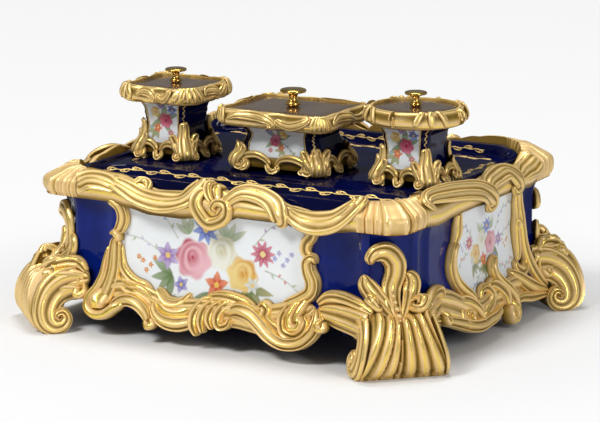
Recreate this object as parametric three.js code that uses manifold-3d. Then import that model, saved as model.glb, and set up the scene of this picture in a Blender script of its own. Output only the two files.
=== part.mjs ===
// Desk inkstand in glazed porcelain: a footed stand with a pen trough, and three loose lidded pots.
// Millimetres, +Z up, +X to the right along the front, -Y is the front.
import * as THREE from 'three';
import { mergeVertices } from 'three/addons/utils/BufferGeometryUtils.js';
import Module from 'manifold-3d';

const wasm = await Module();
wasm.setup();

// Stand: walls, with heights on them as shares of the ledge's height
const wallHalfLength = 142;
const wallHalfDepth = 118;
const ledgeHeight = 96;
const cornerCant = 25;
const wallThickness = 5;
const wallFlare = 12;
const cornerFlare = 17;
const coveReach = 2.5;
const wingDepth = 3;
const ridgeHeight = 1.6;
const ridgeWidth = 3.2;
const panelShare = 0.62;
const apronBlendShare = 0.12;
const heightShares = {
  flareStart: 0.646,
  flareRun: 0.521,
  cornerFlareStart: 0.625,
  cornerFlareRun: 0.1875,
  coveStart: 0.875,
  wallFoot: 0.125,
  apronPanel: 0.23,
  apronWing: 0.323,
  apronCorner: 0.26,
  footBack: 0.135,
  foot: 0.5104,
  footEye: 0.0958,
};
const flareStart = ledgeHeight * heightShares.flareStart;
const flareRun = ledgeHeight * heightShares.flareRun;
const cornerFlareStart = ledgeHeight * heightShares.cornerFlareStart;
const cornerFlareRun = ledgeHeight * heightShares.cornerFlareRun;
const coveStart = ledgeHeight * heightShares.coveStart;
const wallFootHeight = ledgeHeight * heightShares.wallFoot;
const apronPanelHeight = ledgeHeight * heightShares.apronPanel;
const apronWingHeight = ledgeHeight * heightShares.apronWing;
const apronCornerHeight = ledgeHeight * heightShares.apronCorner;
const footBackHeight = ledgeHeight * heightShares.footBack;

// Stand: tray
const deckThickness = 5;
const trayRise = 14;
const parapetRise = 17;
const rearParapetRise = 5;
const parapetInset = 10;
const parapetThickness = 4;
const trayBackInset = 19;
const troughDepth = 10;
const troughRearShare = 0.5;
const troughFrontLedge = 1.5;
const troughEndInset = 16;
const troughCorner = 24;
const troughSlope = 7;
const trayFloor = ledgeHeight + trayRise;
const parapetHeight = ledgeHeight + parapetRise;
const rearParapetHeight = parapetHeight + rearParapetRise;
const trayBack = wallHalfDepth - trayBackInset;
const troughFloor = trayFloor - troughDepth;
const troughRear = wallHalfDepth * troughRearShare;
const troughHalfWidth = wallHalfLength - troughEndInset;

// Rim
const rimOverhang = 8;
const rimLipRise = 1;
const rimHeight = 20;
const crestFall = 13;
const lipFall = 9;
const crestRound = 2;
const rearRimRise = 6;
const rimCornerRadius = 15;
const rimCoveClearance = 2.4;
const rimFaceShare = 1.7;
const rimScrollWidthShare = 0.8;
const rimScrollRiseShare = 0.22;
const rimScrollSink = 2;
const rimLipHeight = ledgeHeight + rimLipRise;
const rimTopHeight = rimLipHeight + rimHeight;
const rimFaceLength = rimHeight * rimFaceShare;
const rimScrollWidth = rimHeight * rimScrollWidthShare;
const rimScrollRise = rimHeight * rimScrollRiseShare;

// Feet
const footReach = 40.3;
const footTopHalfWidth = 21;
const footBaseHalfWidth = 34;
const footFluteDepth = 1.5;
const footSeatClearance = 1;
const footEyeProud = 2.5;
const footEyeDepth = 8;
const armRise = 12;
const armReach = 14;
const armEndInset = 11;
const footHeight = ledgeHeight * heightShares.foot;
const footEyeRadius = ledgeHeight * heightShares.footEye;
const armWidthShare = 0.53;
const armWidth = footHeight * armWidthShare;

// Frames and leaves
const scrollRise = 9;
const scrollWidthShare = 0.125;
const frontEyeShare = 0.125;
const sideEyeShare = 0.094;
const scrollWidth = ledgeHeight * scrollWidthShare;
const frontEyeRadius = ledgeHeight * frontEyeShare;
const sideEyeRadius = ledgeHeight * sideEyeShare;
const leafWidth = 14;
const leafRise = 7;
const backStagger = 0.02;

// Pots
const potSpacingShare = 0.7028;
const potSpacing = wallHalfLength * potSpacingShare;
const potRow = -12;

const gap = 0.3;
const overrun = 6;
const sliverSize = 0.03;

const diagonal = Math.SQRT1_2;

// Colours
const finishes = {
  cobalt: { color: 0x16186e, roughness: 0.12, metalness: 0 },
  gilding: { color: 0xe0b66c, roughness: 0.38, metalness: 0.85 },
  brass: { color: 0xd6a94a, roughness: 0.22, metalness: 1 },
  bronze: { color: 0x73645a, roughness: 0.12, metalness: 1 },
  liner: { color: 0xf2f1ec, roughness: 0.15, metalness: 0 },
};

const inkstand = new THREE.Group();

function addPiece(name, geometry, finish) {
  const material = new THREE.MeshStandardMaterial(finishes[finish]);
  const mesh = new THREE.Mesh(geometry, material);
  mesh.name = name;
  inkstand.add(mesh);
  return mesh;
}

// A body from closed rings of points: each ring is joined to the next, and the two ends are capped.
// A hollow outline, given as flat points, has its caps cut into ears instead of a fan.
function loftRings(rings, closedLoop = false, outline = null) {
  const count = rings[0].length;
  const positions = [];
  const faces = [];
  rings.forEach((ring) => ring.forEach((p) => positions.push(p.x, p.y, p.z)));
  const last = closedLoop ? rings.length : rings.length - 1;
  for (let i = 0; i < last; i++) {
    const next = (i + 1) % rings.length;
    for (let j = 0; j < count; j++) {
      const k = (j + 1) % count;
      faces.push(i * count + j, i * count + k, next * count + k);
      faces.push(i * count + j, next * count + k, next * count + j);
    }
  }
  if (outline) {
    const end = (rings.length - 1) * count;
    ears(outline).forEach(([a, b, c]) => faces.push(c, b, a, end + a, end + b, end + c));
  } else if (!closedLoop) {
    capRing(rings[0], 0, faces, positions, true);
    capRing(rings[rings.length - 1], (rings.length - 1) * count, faces, positions, false);
  }
  const geometry = new THREE.BufferGeometry();
  geometry.setAttribute('position', new THREE.Float32BufferAttribute(positions, 3));
  geometry.setIndex(faces);
  return outward(geometry);
}

function capRing(ring, start, faces, positions, first) {
  const centre = new THREE.Vector3();
  ring.forEach((p) => centre.addScaledVector(p, 1 / ring.length));
  const middle = positions.length / 3;
  positions.push(centre.x, centre.y, centre.z);
  for (let j = 0; j < ring.length; j++) {
    const k = (j + 1) % ring.length;
    if (first) {
      faces.push(middle, start + k, start + j);
    } else {
      faces.push(middle, start + j, start + k);
    }
  }
}

function ears(outline) {
  const contour = outline.map(([x, y]) => new THREE.Vector2(x, y));
  const turn = Math.sign(THREE.ShapeUtils.area(contour));
  return THREE.ShapeUtils.triangulateShape(contour, []).map((ear) => {
    const same = Math.sign(THREE.ShapeUtils.area(ear.map((i) => contour[i]))) === turn;
    return same ? ear : ear.reverse();
  });
}

// Turns a closed body's faces outwards if its signed volume is negative.
function outward(geometry) {
  const p = geometry.attributes.position;
  const index = geometry.index.array;
  let volume = 0;
  const a = new THREE.Vector3();
  const b = new THREE.Vector3();
  const c = new THREE.Vector3();
  for (let i = 0; i < index.length; i += 3) {
    a.fromBufferAttribute(p, index[i]);
    b.fromBufferAttribute(p, index[i + 1]);
    c.fromBufferAttribute(p, index[i + 2]);
    volume += a.dot(b.cross(c));
  }
  if (volume < 0) {
    for (let i = 0; i < index.length; i += 3) {
      [index[i + 1], index[i + 2]] = [index[i + 2], index[i + 1]];
    }
  }
  return geometry;
}

function solidOf(geometry) {
  const bare = geometry.clone();
  bare.deleteAttribute('normal');
  bare.deleteAttribute('uv');
  const merged = mergeVertices(bare);
  const vertProperties = new Float32Array(merged.attributes.position.array);
  const triVerts = new Uint32Array(merged.index.array);
  return new wasm.Manifold(new wasm.Mesh({ numProp: 3, vertProperties, triVerts }));
}

function geometryOf(solid) {
  const mesh = solid.getMesh();
  const geometry = new THREE.BufferGeometry();
  geometry.setAttribute('position', new THREE.BufferAttribute(mesh.vertProperties, 3));
  geometry.setIndex(new THREE.BufferAttribute(mesh.triVerts, 1));
  return geometry;
}

const joined = (solids) => solids.reduce((sum, solid) => sum.add(solid));

const blend = (a, b, t) => a + (b - a) * t;
const clampShare = (t) => Math.min(1, Math.max(0, t));
const smooth = (t) => clampShare(t) ** 2 * (3 - 2 * clampShare(t));
const point = (x, y, z) => new THREE.Vector3(x, y, z);

// Heights at which the wall surface has a ring; the reliefs follow the same facets.
const wallLevelShares = [0, 0.12, 0.24, 0.36, 0.48, 0.6, 0.86, 1];
const wallLevels = wallLevelShares.map((share) => blend(wallFootHeight, ledgeHeight, share));
const flarePowerShare = 1.6;

function flareAt(z, start, run, reach) {
  const low = clampShare((start - z) / run);
  const high = clampShare((z - coveStart) / (ledgeHeight - coveStart));
  return reach * low ** flarePowerShare + coveReach * high ** 2;
}

const straightFlare = (z) => flareAt(z, flareStart, flareRun, wallFlare);
const cornerFlareAt = (z) => flareAt(z, cornerFlareStart, cornerFlareRun, cornerFlare);

// The flare read from the facets between two wall levels.
function facetFlare(z, flare) {
  let i = 0;
  while (i < wallLevels.length - 2 && z > wallLevels[i + 1]) {
    i += 1;
  }
  const t = (z - wallLevels[i]) / (wallLevels[i + 1] - wallLevels[i]);
  return blend(flare(wallLevels[i]), flare(wallLevels[i + 1]), clampShare(t));
}

// One side of the plan from its middle to the pilaster: places along it, and reliefs off the wall line.
const wingShares = [[0.2, -0.6], [0.6, -1]];

function halfSide(halfLength, cantStart) {
  const panelEnd = halfLength * panelShare;
  const wingEnd = cantStart - ridgeWidth;
  const steps = [[0, 0], [halfLength * (panelShare - apronBlendShare), 0], [panelEnd, 0]];
  wingShares.forEach(([along, depth]) => steps.push([blend(panelEnd, wingEnd, along), wingDepth * depth]));
  steps.push([wingEnd, 0]);
  steps.push([wingEnd + ridgeWidth / 2, ridgeHeight]);
  return steps;
}

// The plan outline of the wall at a height, grown outwards by an offset, counter-clockwise from +X.
function wallRing(z, offset, heightAt = () => z, reliefShare = 1) {
  const flare = facetFlare(z, straightFlare);
  const halfX = wallHalfLength + flare + offset;
  const halfY = wallHalfDepth + flare + offset;
  const cornerReach = facetFlare(z, cornerFlareAt) + offset;
  const cantSum = wallHalfLength + wallHalfDepth - cornerCant + cornerReach * Math.SQRT2;
  const quarter = [];
  halfSide(wallHalfDepth, cantSum - halfX)
    .forEach(([along, relief]) => quarter.push([halfX + relief * reliefShare, along]));
  quarter.push([halfX, cantSum - halfX]);
  quarter.push([cantSum - halfY, halfY]);
  halfSide(wallHalfLength, cantSum - halfY).reverse()
    .forEach(([along, relief]) => quarter.push([along, halfY + relief * reliefShare]));
  const ring = [];
  const put = (x, y) => ring.push(point(x, y, heightAt(x, y)));
  quarter.forEach(([x, y]) => put(x, y));
  quarter.slice(0, -1).reverse().forEach(([x, y]) => put(-x, y));
  quarter.slice(1).forEach(([x, y]) => put(-x, -y));
  quarter.slice(1, -1).reverse().forEach(([x, y]) => put(x, -y));
  return ring;
}

// The wall's lower edge: low behind the frames and the feet, arched between them.
const apronStep = 0.5;

function apronHeight(x, y) {
  const cornerAt = wallHalfLength + wallHalfDepth - cornerCant;
  if (Math.abs(x) + Math.abs(y) > cornerAt - wallThickness) {
    return apronCornerHeight;
  }
  const along = Math.min(Math.abs(x) / wallHalfLength, Math.abs(y) / wallHalfDepth);
  const t = smooth((along - panelShare + apronBlendShare) / apronBlendShare);
  return blend(apronPanelHeight, apronWingHeight, t);
}

// The wall's outline at a level, lifted to the apron wherever the apron lies above that level.
function apronRing(z, offset, rise) {
  return wallRing(wallFootHeight, offset).map((p, i) => {
    const height = Math.max(z, apronHeight(p.x, p.y) + rise);
    return wallRing(height, offset)[i].setZ(height);
  });
}

function parapetAt(x, y) {
  return y > trayBack - parapetInset ? rearParapetHeight : parapetHeight;
}

function roundedRectangle(halfX, halfY, radius, centreY, z, arcSteps = 5) {
  const ring = [];
  const corners = [[1, 1], [-1, 1], [-1, -1], [1, -1]];
  corners.forEach(([sx, sy], i) => {
    for (let j = 0; j <= arcSteps; j++) {
      const angle = (i + j / arcSteps) * Math.PI / 2;
      const x = sx * (halfX - radius) + radius * Math.cos(angle);
      const y = centreY + sy * (halfY - radius) + radius * Math.sin(angle);
      ring.push(point(x, y, z));
    }
  });
  return ring;
}

function troughSolid(front, growth, floor, top, endSlope = troughSlope) {
  const halfY = (front - troughRear + growth) / 2;
  const centreY = -(front + troughRear - growth) / 2;
  const half = troughHalfWidth + growth;
  const upper = roundedRectangle(half, halfY, troughCorner, centreY, top);
  const lower = roundedRectangle(
    half - endSlope,
    halfY - troughSlope / 2,
    troughCorner - endSlope / 2,
    centreY - troughSlope / 2,
    floor,
  );
  return solidOf(loftRings([lower, upper]));
}

function trayRecess() {
  const halfX = wallHalfLength - parapetInset - parapetThickness;
  const front = wallHalfDepth - parapetInset - parapetThickness;
  const halfY = (front + trayBack) / 2;
  const centreY = (trayBack - front) / 2;
  const ring = (z) => roundedRectangle(halfX, halfY, troughCorner, centreY, z);
  return solidOf(loftRings([ring(trayFloor), ring(rearParapetHeight + overrun)]));
}

// The stand's walls and deck are one hollow moulding, open below.
function standBody() {
  const blockInset = parapetInset + coveReach;
  const deckInset = blockInset + wallThickness;
  const rings = [];
  rings.push(wallRing(ledgeHeight, -blockInset, parapetAt, 0));
  rings.push(wallRing(ledgeHeight, -blockInset, undefined, 0));
  wallLevels.slice(3).reverse().forEach((z) => rings.push(wallRing(z, 0)));
  rings.push(apronRing(wallLevels[2], 0, apronStep * 2));
  rings.push(apronRing(wallLevels[1], 0, apronStep));
  rings.push(apronRing(wallFootHeight, 0, 0));
  rings.push(apronRing(wallFootHeight, -wallThickness, 0));
  [3, 5].forEach((level) => rings.push(wallRing(wallLevels[level], -wallThickness)));
  rings.push(wallRing(ledgeHeight - wallThickness, -deckInset, undefined, 0));
  rings.push(wallRing(ledgeHeight, -deckInset, () => trayFloor - deckThickness, 0));
  const front = wallHalfDepth - parapetInset - parapetThickness - troughFrontLedge;
  const block = [troughFloor - wallThickness, trayFloor - gap]
    .map((z) => wallRing(ledgeHeight, -blockInset - gap, () => z, 0));
  const pan = troughSolid(front, deckThickness, troughFloor - deckThickness, trayFloor - gap, 0)
    .intersect(solidOf(loftRings(block)));
  const trough = troughSolid(front, 0, troughFloor, rearParapetHeight + overrun);
  return geometryOf(solidOf(loftRings(rings)).add(pan).subtract(trayRecess()).subtract(trough));
}

// Relief bands: a fluted section swept along a scroll that lies on a host surface.
// A host turns (along, up, out) into a point; out is the distance off the surface.
const frontHost = (u, v, out) => point(u, -(wallHalfDepth + facetFlare(v, straightFlare) + out), v);
const rightHost = (u, v, out) => point(wallHalfLength + facetFlare(v, straightFlare) + out, u, v);

const bandSectionShares = [[-1, 0], [-0.7, 0.95], [0.45, 0.9], [1, 0]];

function band(host, places, widths, heights, lift = 0) {
  const steps = places.length;
  const curve = new THREE.CatmullRomCurve3(places.map(([u, v]) => point(u, v, 0)), false, 'centripetal');
  const rings = [];
  for (let i = 0; i <= steps; i++) {
    const t = i / steps;
    const middle = curve.getPoint(t);
    const tangent = curve.getTangent(t);
    const half = along(widths, t) / 2;
    const high = along(heights, t);
    rings.push(bandSectionShares.map(([side, rise]) => host(
      middle.x - tangent.y * side * half,
      middle.y + tangent.x * side * half,
      gap + lift + rise * high,
    )));
  }
  return solidOf(loftRings(rings));
}

// A value read along a short list of stations.
function along(values, t) {
  const place = t * (values.length - 1);
  const i = Math.min(values.length - 2, Math.floor(place));
  return blend(values[i], values[i + 1], place - i);
}

const eyeSectionShares = [[1, 0], [0.95, 0.75], [0.55, 1]];
const eyeSides = 8;

function scrollEye(host, u, v, radius, height) {
  const rings = eyeSectionShares.map(([reach, rise]) => {
    const ring = [];
    for (let i = 0; i < eyeSides; i++) {
      const angle = i / eyeSides * 2 * Math.PI;
      const side = reach * radius * Math.cos(angle);
      const up = reach * radius * Math.sin(angle);
      ring.push(host(u + side, v + up, gap + rise * height));
    }
    return ring;
  });
  return solidOf(loftRings(rings));
}

addPiece('stand_body', standBody(), 'cobalt');

// Gilt gallery rim: one moulding round the tray, with a scrolled crest and lip and gadrooned corners.
// How far its crest and its lip fall, read at shares of each side from its left end.
const frontRimShares = [
  [0, 0, 0], [0.12, 0.12, 0], [0.19, 0.38, 0.33], [0.27, 0.77, 0.67], [0.38, 0.65, 0.67], [0.45, 0, 0.44],
  [0.49, 0.04, 1], [0.53, 0.42, 0.56], [0.6, 0.12, 0], [0.68, 0.31, 0], [0.75, 0.77, 0.11],
  [0.84, 0.96, 0.33], [0.93, 0.69, 0.22], [1, 0, 0],
];
const sideRimShares = [
  [0, -0.08, 0], [0.12, 0, 0.22], [0.25, -0.08, 0], [0.42, 0.15, 0], [0.55, 0.46, 0.11], [0.62, 0.38, 0],
  [0.7, -0.08, 0], [0.83, 0.15, 0], [0.93, 0.54, 0.22], [1, 0, 0],
];
const rimSectionShares = [[0.14, 0], [0.42, 0.04], [0.68, 0.2], [0.96, 0.42], [1, 0.75], [0.9, 1]];
const gadroons = 4;
const gadroonShare = 0.1;
const frontRimSteps = 13;
const sideRimSteps = 9;

function rimHeightsAt(table, share) {
  let i = 0;
  while (i < table.length - 2 && share > table[i + 1][0]) {
    i += 1;
  }
  const [start, crestA, lipA] = table[i];
  const [end, crestB, lipB] = table[i + 1];
  const t = smooth((share - start) / (end - start));
  return [rimTopHeight - crestFall * blend(crestA, crestB, t), rimLipHeight - lipFall * blend(lipA, lipB, t)];
}

// The stations round half of the rim, front and right: an inner and an outer place, and the heights there.
function rimHalf() {
  const innerX = wallHalfLength - parapetInset + gap;
  const innerY = wallHalfDepth - parapetInset + gap;
  const innerSum = wallHalfLength + wallHalfDepth - cornerCant - (parapetInset - gap) * Math.SQRT2;
  const outerX = wallHalfLength + rimOverhang;
  const outerY = wallHalfDepth + rimOverhang;
  const sideX = innerSum - innerY;
  const sideY = innerSum - innerX;
  const stations = [];
  for (let i = 0; i <= frontRimSteps; i++) {
    const share = i / frontRimSteps;
    const x = blend(-sideX, sideX, share);
    stations.push([x, -innerY, x, -outerY, ...rimHeightsAt(frontRimShares, share), 1]);
  }
  const outerPath = new THREE.CurvePath();
  outerPath.add(new THREE.LineCurve(
    new THREE.Vector2(sideX, -outerY), new THREE.Vector2(outerX - rimCornerRadius, -outerY)));
  outerPath.add(new THREE.QuadraticBezierCurve(
    new THREE.Vector2(outerX - rimCornerRadius, -outerY),
    new THREE.Vector2(outerX, -outerY),
    new THREE.Vector2(outerX, rimCornerRadius - outerY)));
  outerPath.add(new THREE.LineCurve(
    new THREE.Vector2(outerX, rimCornerRadius - outerY), new THREE.Vector2(outerX, -sideY)));
  for (let i = 1; i < gadroons * 2; i++) {
    const share = i / (gadroons * 2);
    const out = outerPath.getPoint(share);
    const x = blend(sideX, innerX, share);
    const y = blend(-innerY, -sideY, share);
    stations.push([x, y, out.x, out.y, rimTopHeight, rimLipHeight, i % 2 ? 1 : 1 - gadroonShare]);
  }
  for (let i = 0; i <= sideRimSteps; i++) {
    const share = i / sideRimSteps;
    const y = blend(-sideY, sideY, share);
    stations.push([innerX, y, outerX, y, ...rimHeightsAt(sideRimShares, share), 1]);
  }
  for (let i = 1; i < gadroons * 2; i++) {
    const share = i / (gadroons * 2);
    const out = outerPath.getPoint(1 - share);
    const x = blend(innerX, sideX, share);
    const y = blend(sideY, innerY, share);
    stations.push([x, y, out.x, -out.y, rimTopHeight, rimLipHeight, i % 2 ? 1 : 1 - gadroonShare]);
  }
  return stations;
}

function galleryRim() {
  const half = rimHalf();
  const turned = half.map(([ix, iy, ox, oy, ...rest]) => [-ix, -iy, -ox, -oy, ...rest]);
  const lipClear = coveReach + rimCoveClearance;
  const rings = half.concat(turned).map(([ix, iy, ox, oy, topPlain, low, reach]) => {
    const top = topPlain + rearRimRise * smooth((oy - wallHalfDepth / 2) / (wallHalfDepth / 2));
    const clearance = (share) => {
      const x = Math.abs(blend(ix, ox, share));
      const y = Math.abs(blend(iy, oy, share));
      const cant = (x + y - wallHalfLength - wallHalfDepth + cornerCant) * diagonal;
      return Math.max(x - wallHalfLength, y - wallHalfDepth, cant);
    };
    const startClear = clearance(0);
    const lip = (lipClear - startClear) / (clearance(1) - startClear);
    const ring = [point(ix, iy, ledgeHeight + gap)];
    rimSectionShares.forEach(([out, drop]) => {
      const share = out * (out > lip ? blend(1, reach, (out - lip) / (1 - lip)) : 1);
      ring.push(point(blend(ix, ox, share), blend(iy, oy, share), blend(top, low, drop)));
    });
    ring.splice(1, 0, point(ix, iy, top - crestRound));
    const lipX = blend(ix, ox, lip);
    const lipY = blend(iy, oy, lip);
    ring.push(point(lipX, lipY, low), point(lipX, lipY, ledgeHeight + gap));
    return ring;
  });
  return solidOf(loftRings(rings, true));
}

// A place on the rim's face: along its side, down its section from the crest to the lip, and out.
const rimProbeShare = 0.06;

function rimHost(front, turn) {
  const half = front ? wallHalfDepth : wallHalfLength;
  const otherHalf = front ? wallHalfLength : wallHalfDepth;
  const span = otherHalf - cornerCant - (parapetInset - gap) * (Math.SQRT2 - 1);
  const table = front ? frontRimShares : sideRimShares;
  const outer = half + rimOverhang;
  return (u, v, out) => {
    const [crest, lip] = rimHeightsAt(table, clampShare((u / span + 1) / 2));
    const y = turn * (front ? -outer : u);
    const top = crest + rearRimRise * smooth((y - wallHalfDepth / 2) / (wallHalfDepth / 2));
    const faceAt = (share) => {
      const t = clampShare(share);
      const reach = along(rimSectionShares.map(([side]) => side), t);
      const drop = along(rimSectionShares.map(([, down]) => down), t);
      return new THREE.Vector2(blend(half - parapetInset + gap, outer, reach), blend(top, lip, drop));
    };
    const share = v / rimFaceLength;
    const run = faceAt(share + rimProbeShare).sub(faceAt(share - rimProbeShare)).normalize();
    const place = faceAt(share);
    const away = place.x - run.y * out;
    const height = place.y + run.x * out;
    return (front ? point(u, -away, height) : point(away, u, height)).multiply(point(turn, turn, 1));
  };
}

const frontRimScrollShares = [
  {
    placeShares: [
      [-0.69, 0.4], [-0.563, 0.45], [-0.423, 0.55], [-0.296, 0.58], [-0.19, 0.52], [-0.127, 0.36],
      [-0.099, 0.14],
    ],
    widthShares: [0.5, 0.9, 1, 1, 0.9, 0.6],
    riseShares: [0.4, 0.6, 0.7, 0.8, 0.8, 0.6],
  },
  {
    placeShares: [
      [-0.077, 0.3], [-0.092, 0.55], [-0.07, 0.82], [0.004, 0.95], [0.07, 0.85], [0.074, 0.66],
    ],
    widthShares: [0.5, 0.56, 0.6, 0.6, 0.5, 0.4],
    riseShares: [0.6, 0.9, 1, 1, 0.8],
  },
  {
    placeShares: [
      [0.028, 0.8], [0.07, 0.5], [0.141, 0.32], [0.232, 0.28], [0.324, 0.4], [0.38, 0.62], [0.394, 0.8],
    ],
    widthShares: [0.4, 0.75, 0.95, 0.95, 0.8, 0.5],
    riseShares: [0.6, 0.9, 0.9, 0.8, 0.6],
  },
  {
    placeShares: [[0.401, 0.3], [0.465, 0.55], [0.563, 0.62], [0.676, 0.6], [0.76, 0.42]],
    widthShares: [0.5, 0.95, 1.1, 1, 0.6],
    riseShares: [0.5, 0.8, 0.9, 0.6],
  },
];
const sideRimScrollShares = [
  {
    placeShares: [[-0.559, 0.4], [-0.381, 0.48], [-0.212, 0.52], [-0.068, 0.6], [0.051, 0.75]],
    widthShares: [0.5, 1.05, 1.2, 1.05, 0.5],
    riseShares: [0.5, 0.8, 0.9, 0.6],
  },
  {
    placeShares: [[0.085, 0.55], [0.186, 0.42], [0.322, 0.46], [0.424, 0.65], [0.458, 0.82]],
    widthShares: [0.45, 0.95, 1, 0.7, 0.4],
    riseShares: [0.5, 0.9, 0.9, 0.6],
  },
  {
    placeShares: [[0.483, 0.6], [0.593, 0.5], [0.695, 0.45]],
    widthShares: [0.5, 1, 1.1, 0.9],
    riseShares: [0.4, 0.7, 0.6],
  },
];

// Rocaille frames round the painted reserves, each one moulding luted on the wall.
const frontScrollShares = [
  {
    placeShares: [[-0.627, 0.875], [-0.577, 0.901], [-0.532, 0.854], [-0.535, 0.792], [-0.577, 0.74]],
    widthShares: [0.42, 0.67, 0.67, 0.58, 0.5],
    riseShares: [0.33, 0.67, 0.44],
  },
  {
    placeShares: [[-0.57, 0.781], [-0.609, 0.698], [-0.616, 0.594], [-0.592, 0.49], [-0.542, 0.406]],
    widthShares: [0.5, 0.75, 0.83, 0.83, 0.67],
    riseShares: [0.44, 0.78, 0.56],
  },
  {
    placeShares: [
      [-0.592, 0.5], [-0.648, 0.396], [-0.69, 0.292], [-0.683, 0.188], [-0.62, 0.146], [-0.549, 0.198],
      [-0.493, 0.281],
    ],
    widthShares: [0.67, 1, 0.92, 0.67],
    riseShares: [0.56, 0.89, 0.67],
  },
  {
    placeShares: [
      [-0.535, 0.396], [-0.472, 0.312], [-0.38, 0.26], [-0.282, 0.25], [-0.197, 0.271],
      [-0.106, 0.375],
    ],
    widthShares: [0.58, 0.92, 1, 0.83, 0.5],
    riseShares: [0.56, 0.89, 0.56],
  },
  {
    placeShares: [[-0.507, 0.25], [-0.408, 0.177], [-0.296, 0.146], [-0.197, 0.167], [-0.113, 0.26]],
    widthShares: [0.67, 0.75, 0.83, 0.75, 0.58],
    riseShares: [0.67, 1, 0.67],
  },
  {
    placeShares: [[-0.099, 0.354], [-0.127, 0.25], [-0.113, 0.146], [-0.07, 0.094], [-0.028, 0.146]],
    widthShares: [0.58, 0.75, 0.75, 0.58, 0.33],
    riseShares: [0.56, 1, 0.67],
  },
  {
    placeShares: [
      [-0.12, 0.271], [0.014, 0.312], [0.127, 0.302], [0.218, 0.26], [0.303, 0.188], [0.394, 0.146],
      [0.493, 0.156], [0.577, 0.25],
    ],
    widthShares: [0.75, 1.08, 1, 0.92, 0.67],
    riseShares: [0.67, 0.89, 0.89, 0.67],
  },
  {
    placeShares: [
      [0.366, 0.385], [0.465, 0.417], [0.535, 0.479], [0.563, 0.583], [0.549, 0.688], [0.5, 0.76],
    ],
    widthShares: [0.67, 0.75, 0.83, 0.83, 0.75, 0.5],
    riseShares: [0.56, 0.78, 0.44],
  },
  {
    placeShares: [[0.556, 0.719], [0.507, 0.792], [0.507, 0.865], [0.556, 0.906]],
    widthShares: [0.42, 0.67, 0.58, 0.42],
    riseShares: [0.44, 0.67, 0.33],
  },
];
const frontEyeShares = [0.451, 0.292];
const sideScrollShares = [
  {
    placeShares: [[-0.347, 0.906], [-0.347, 0.833], [-0.398, 0.76]],
    widthShares: [0.5, 0.67, 0.5],
    riseShares: [0.33, 0.67, 0.44],
  },
  {
    placeShares: [[-0.381, 0.792], [-0.449, 0.719], [-0.466, 0.625], [-0.432, 0.521], [-0.364, 0.427]],
    widthShares: [0.5, 0.75, 0.75, 0.75, 0.67],
    riseShares: [0.44, 0.78, 0.56],
  },
  {
    placeShares: [[-0.407, 0.479], [-0.373, 0.375], [-0.297, 0.292], [-0.212, 0.24], [-0.102, 0.229]],
    widthShares: [0.67, 0.92, 1, 1, 0.75],
    riseShares: [0.56, 0.89, 0.67],
  },
  {
    placeShares: [[-0.153, 0.208], [-0.034, 0.156], [0.085, 0.135], [0.186, 0.167], [0.288, 0.25]],
    widthShares: [0.75, 1, 1, 0.83, 0.67],
    riseShares: [0.67, 1, 0.67],
  },
  {
    placeShares: [[0.153, 0.188], [0.229, 0.115], [0.305, 0.104], [0.322, 0.177]],
    widthShares: [0.67, 0.75, 0.58, 0.42],
    riseShares: [0.67, 0.89, 0.56],
  },
  {
    placeShares: [
      [-0.017, 0.5], [0.051, 0.531], [0.093, 0.458], [0.119, 0.365], [0.186, 0.292], [0.288, 0.25],
    ],
    widthShares: [0.33, 0.58, 0.67, 0.75, 0.83, 0.67],
    riseShares: [0.44, 0.78, 0.78],
  },
  {
    placeShares: [[0.432, 0.906], [0.398, 0.833], [0.432, 0.74]],
    widthShares: [0.5, 0.67, 0.58],
    riseShares: [0.33, 0.67, 0.56],
  },
  {
    placeShares: [
      [0.424, 0.781], [0.424, 0.646], [0.441, 0.521], [0.483, 0.417], [0.559, 0.323], [0.678, 0.229],
    ],
    widthShares: [0.58, 0.75, 0.75, 1, 1, 0.67],
    riseShares: [0.56, 0.89, 0.67],
  },
  {
    placeShares: [[0.237, 0.208], [0.373, 0.167], [0.508, 0.177], [0.678, 0.219]],
    widthShares: [0.67, 0.83, 0.92, 0.75],
    riseShares: [0.67, 0.89, 0.67],
  },
];
const sideEyeShares = [-0.085, 0.281];
const turnHost = (host) => (u, v, out) => host(u, v, out).multiply(point(-1, -1, 1));

// Bands whose places are shares of a length and of a height; each one's back lies a little higher.
function bands(host, scrolls, length, height, width, rise, sink = 0) {
  return scrolls.map(({ placeShares, widthShares, riseShares }, i) => band(
    host,
    placeShares.map(([u, v]) => [u * length, v * height]),
    widthShares.map((share) => share * width),
    riseShares.map((share) => share * rise + sink),
    (i + 1) * backStagger - sink,
  ));
}

function scrolledRim() {
  const solids = [galleryRim()];
  [1, -1].forEach((turn) => {
    const sizes = [rimFaceLength, rimScrollWidth, rimScrollRise, rimScrollSink];
    solids.push(...bands(rimHost(true, turn), frontRimScrollShares, wallHalfLength, ...sizes));
    solids.push(...bands(rimHost(false, turn), sideRimScrollShares, wallHalfDepth, ...sizes));
  });
  return geometryOf(joined(solids).simplify(sliverSize));
}

addPiece('gallery_rim', scrolledRim(), 'gilding');

function scrollFrame(host, scrolls, length, eyeShares, eyeRadius) {
  const solids = bands(host, scrolls, length, ledgeHeight, scrollWidth, scrollRise);
  const [u, v] = eyeShares;
  solids.push(scrollEye(host, u * length, v * ledgeHeight, eyeRadius, scrollRise));
  return geometryOf(joined(solids));
}

const frontFrame = (host) => (
  scrollFrame(host, frontScrollShares, wallHalfLength, frontEyeShares, frontEyeRadius)
);
const sideFrame = (host) => (
  scrollFrame(host, sideScrollShares, wallHalfDepth, sideEyeShares, sideEyeRadius)
);

addPiece('scroll_frame_front', frontFrame(frontHost), 'gilding');
addPiece('scroll_frame_back', frontFrame(turnHost(frontHost)), 'gilding');
addPiece('scroll_frame_right', sideFrame(rightHost), 'gilding');
addPiece('scroll_frame_left', sideFrame(turnHost(rightHost)), 'gilding');

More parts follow.
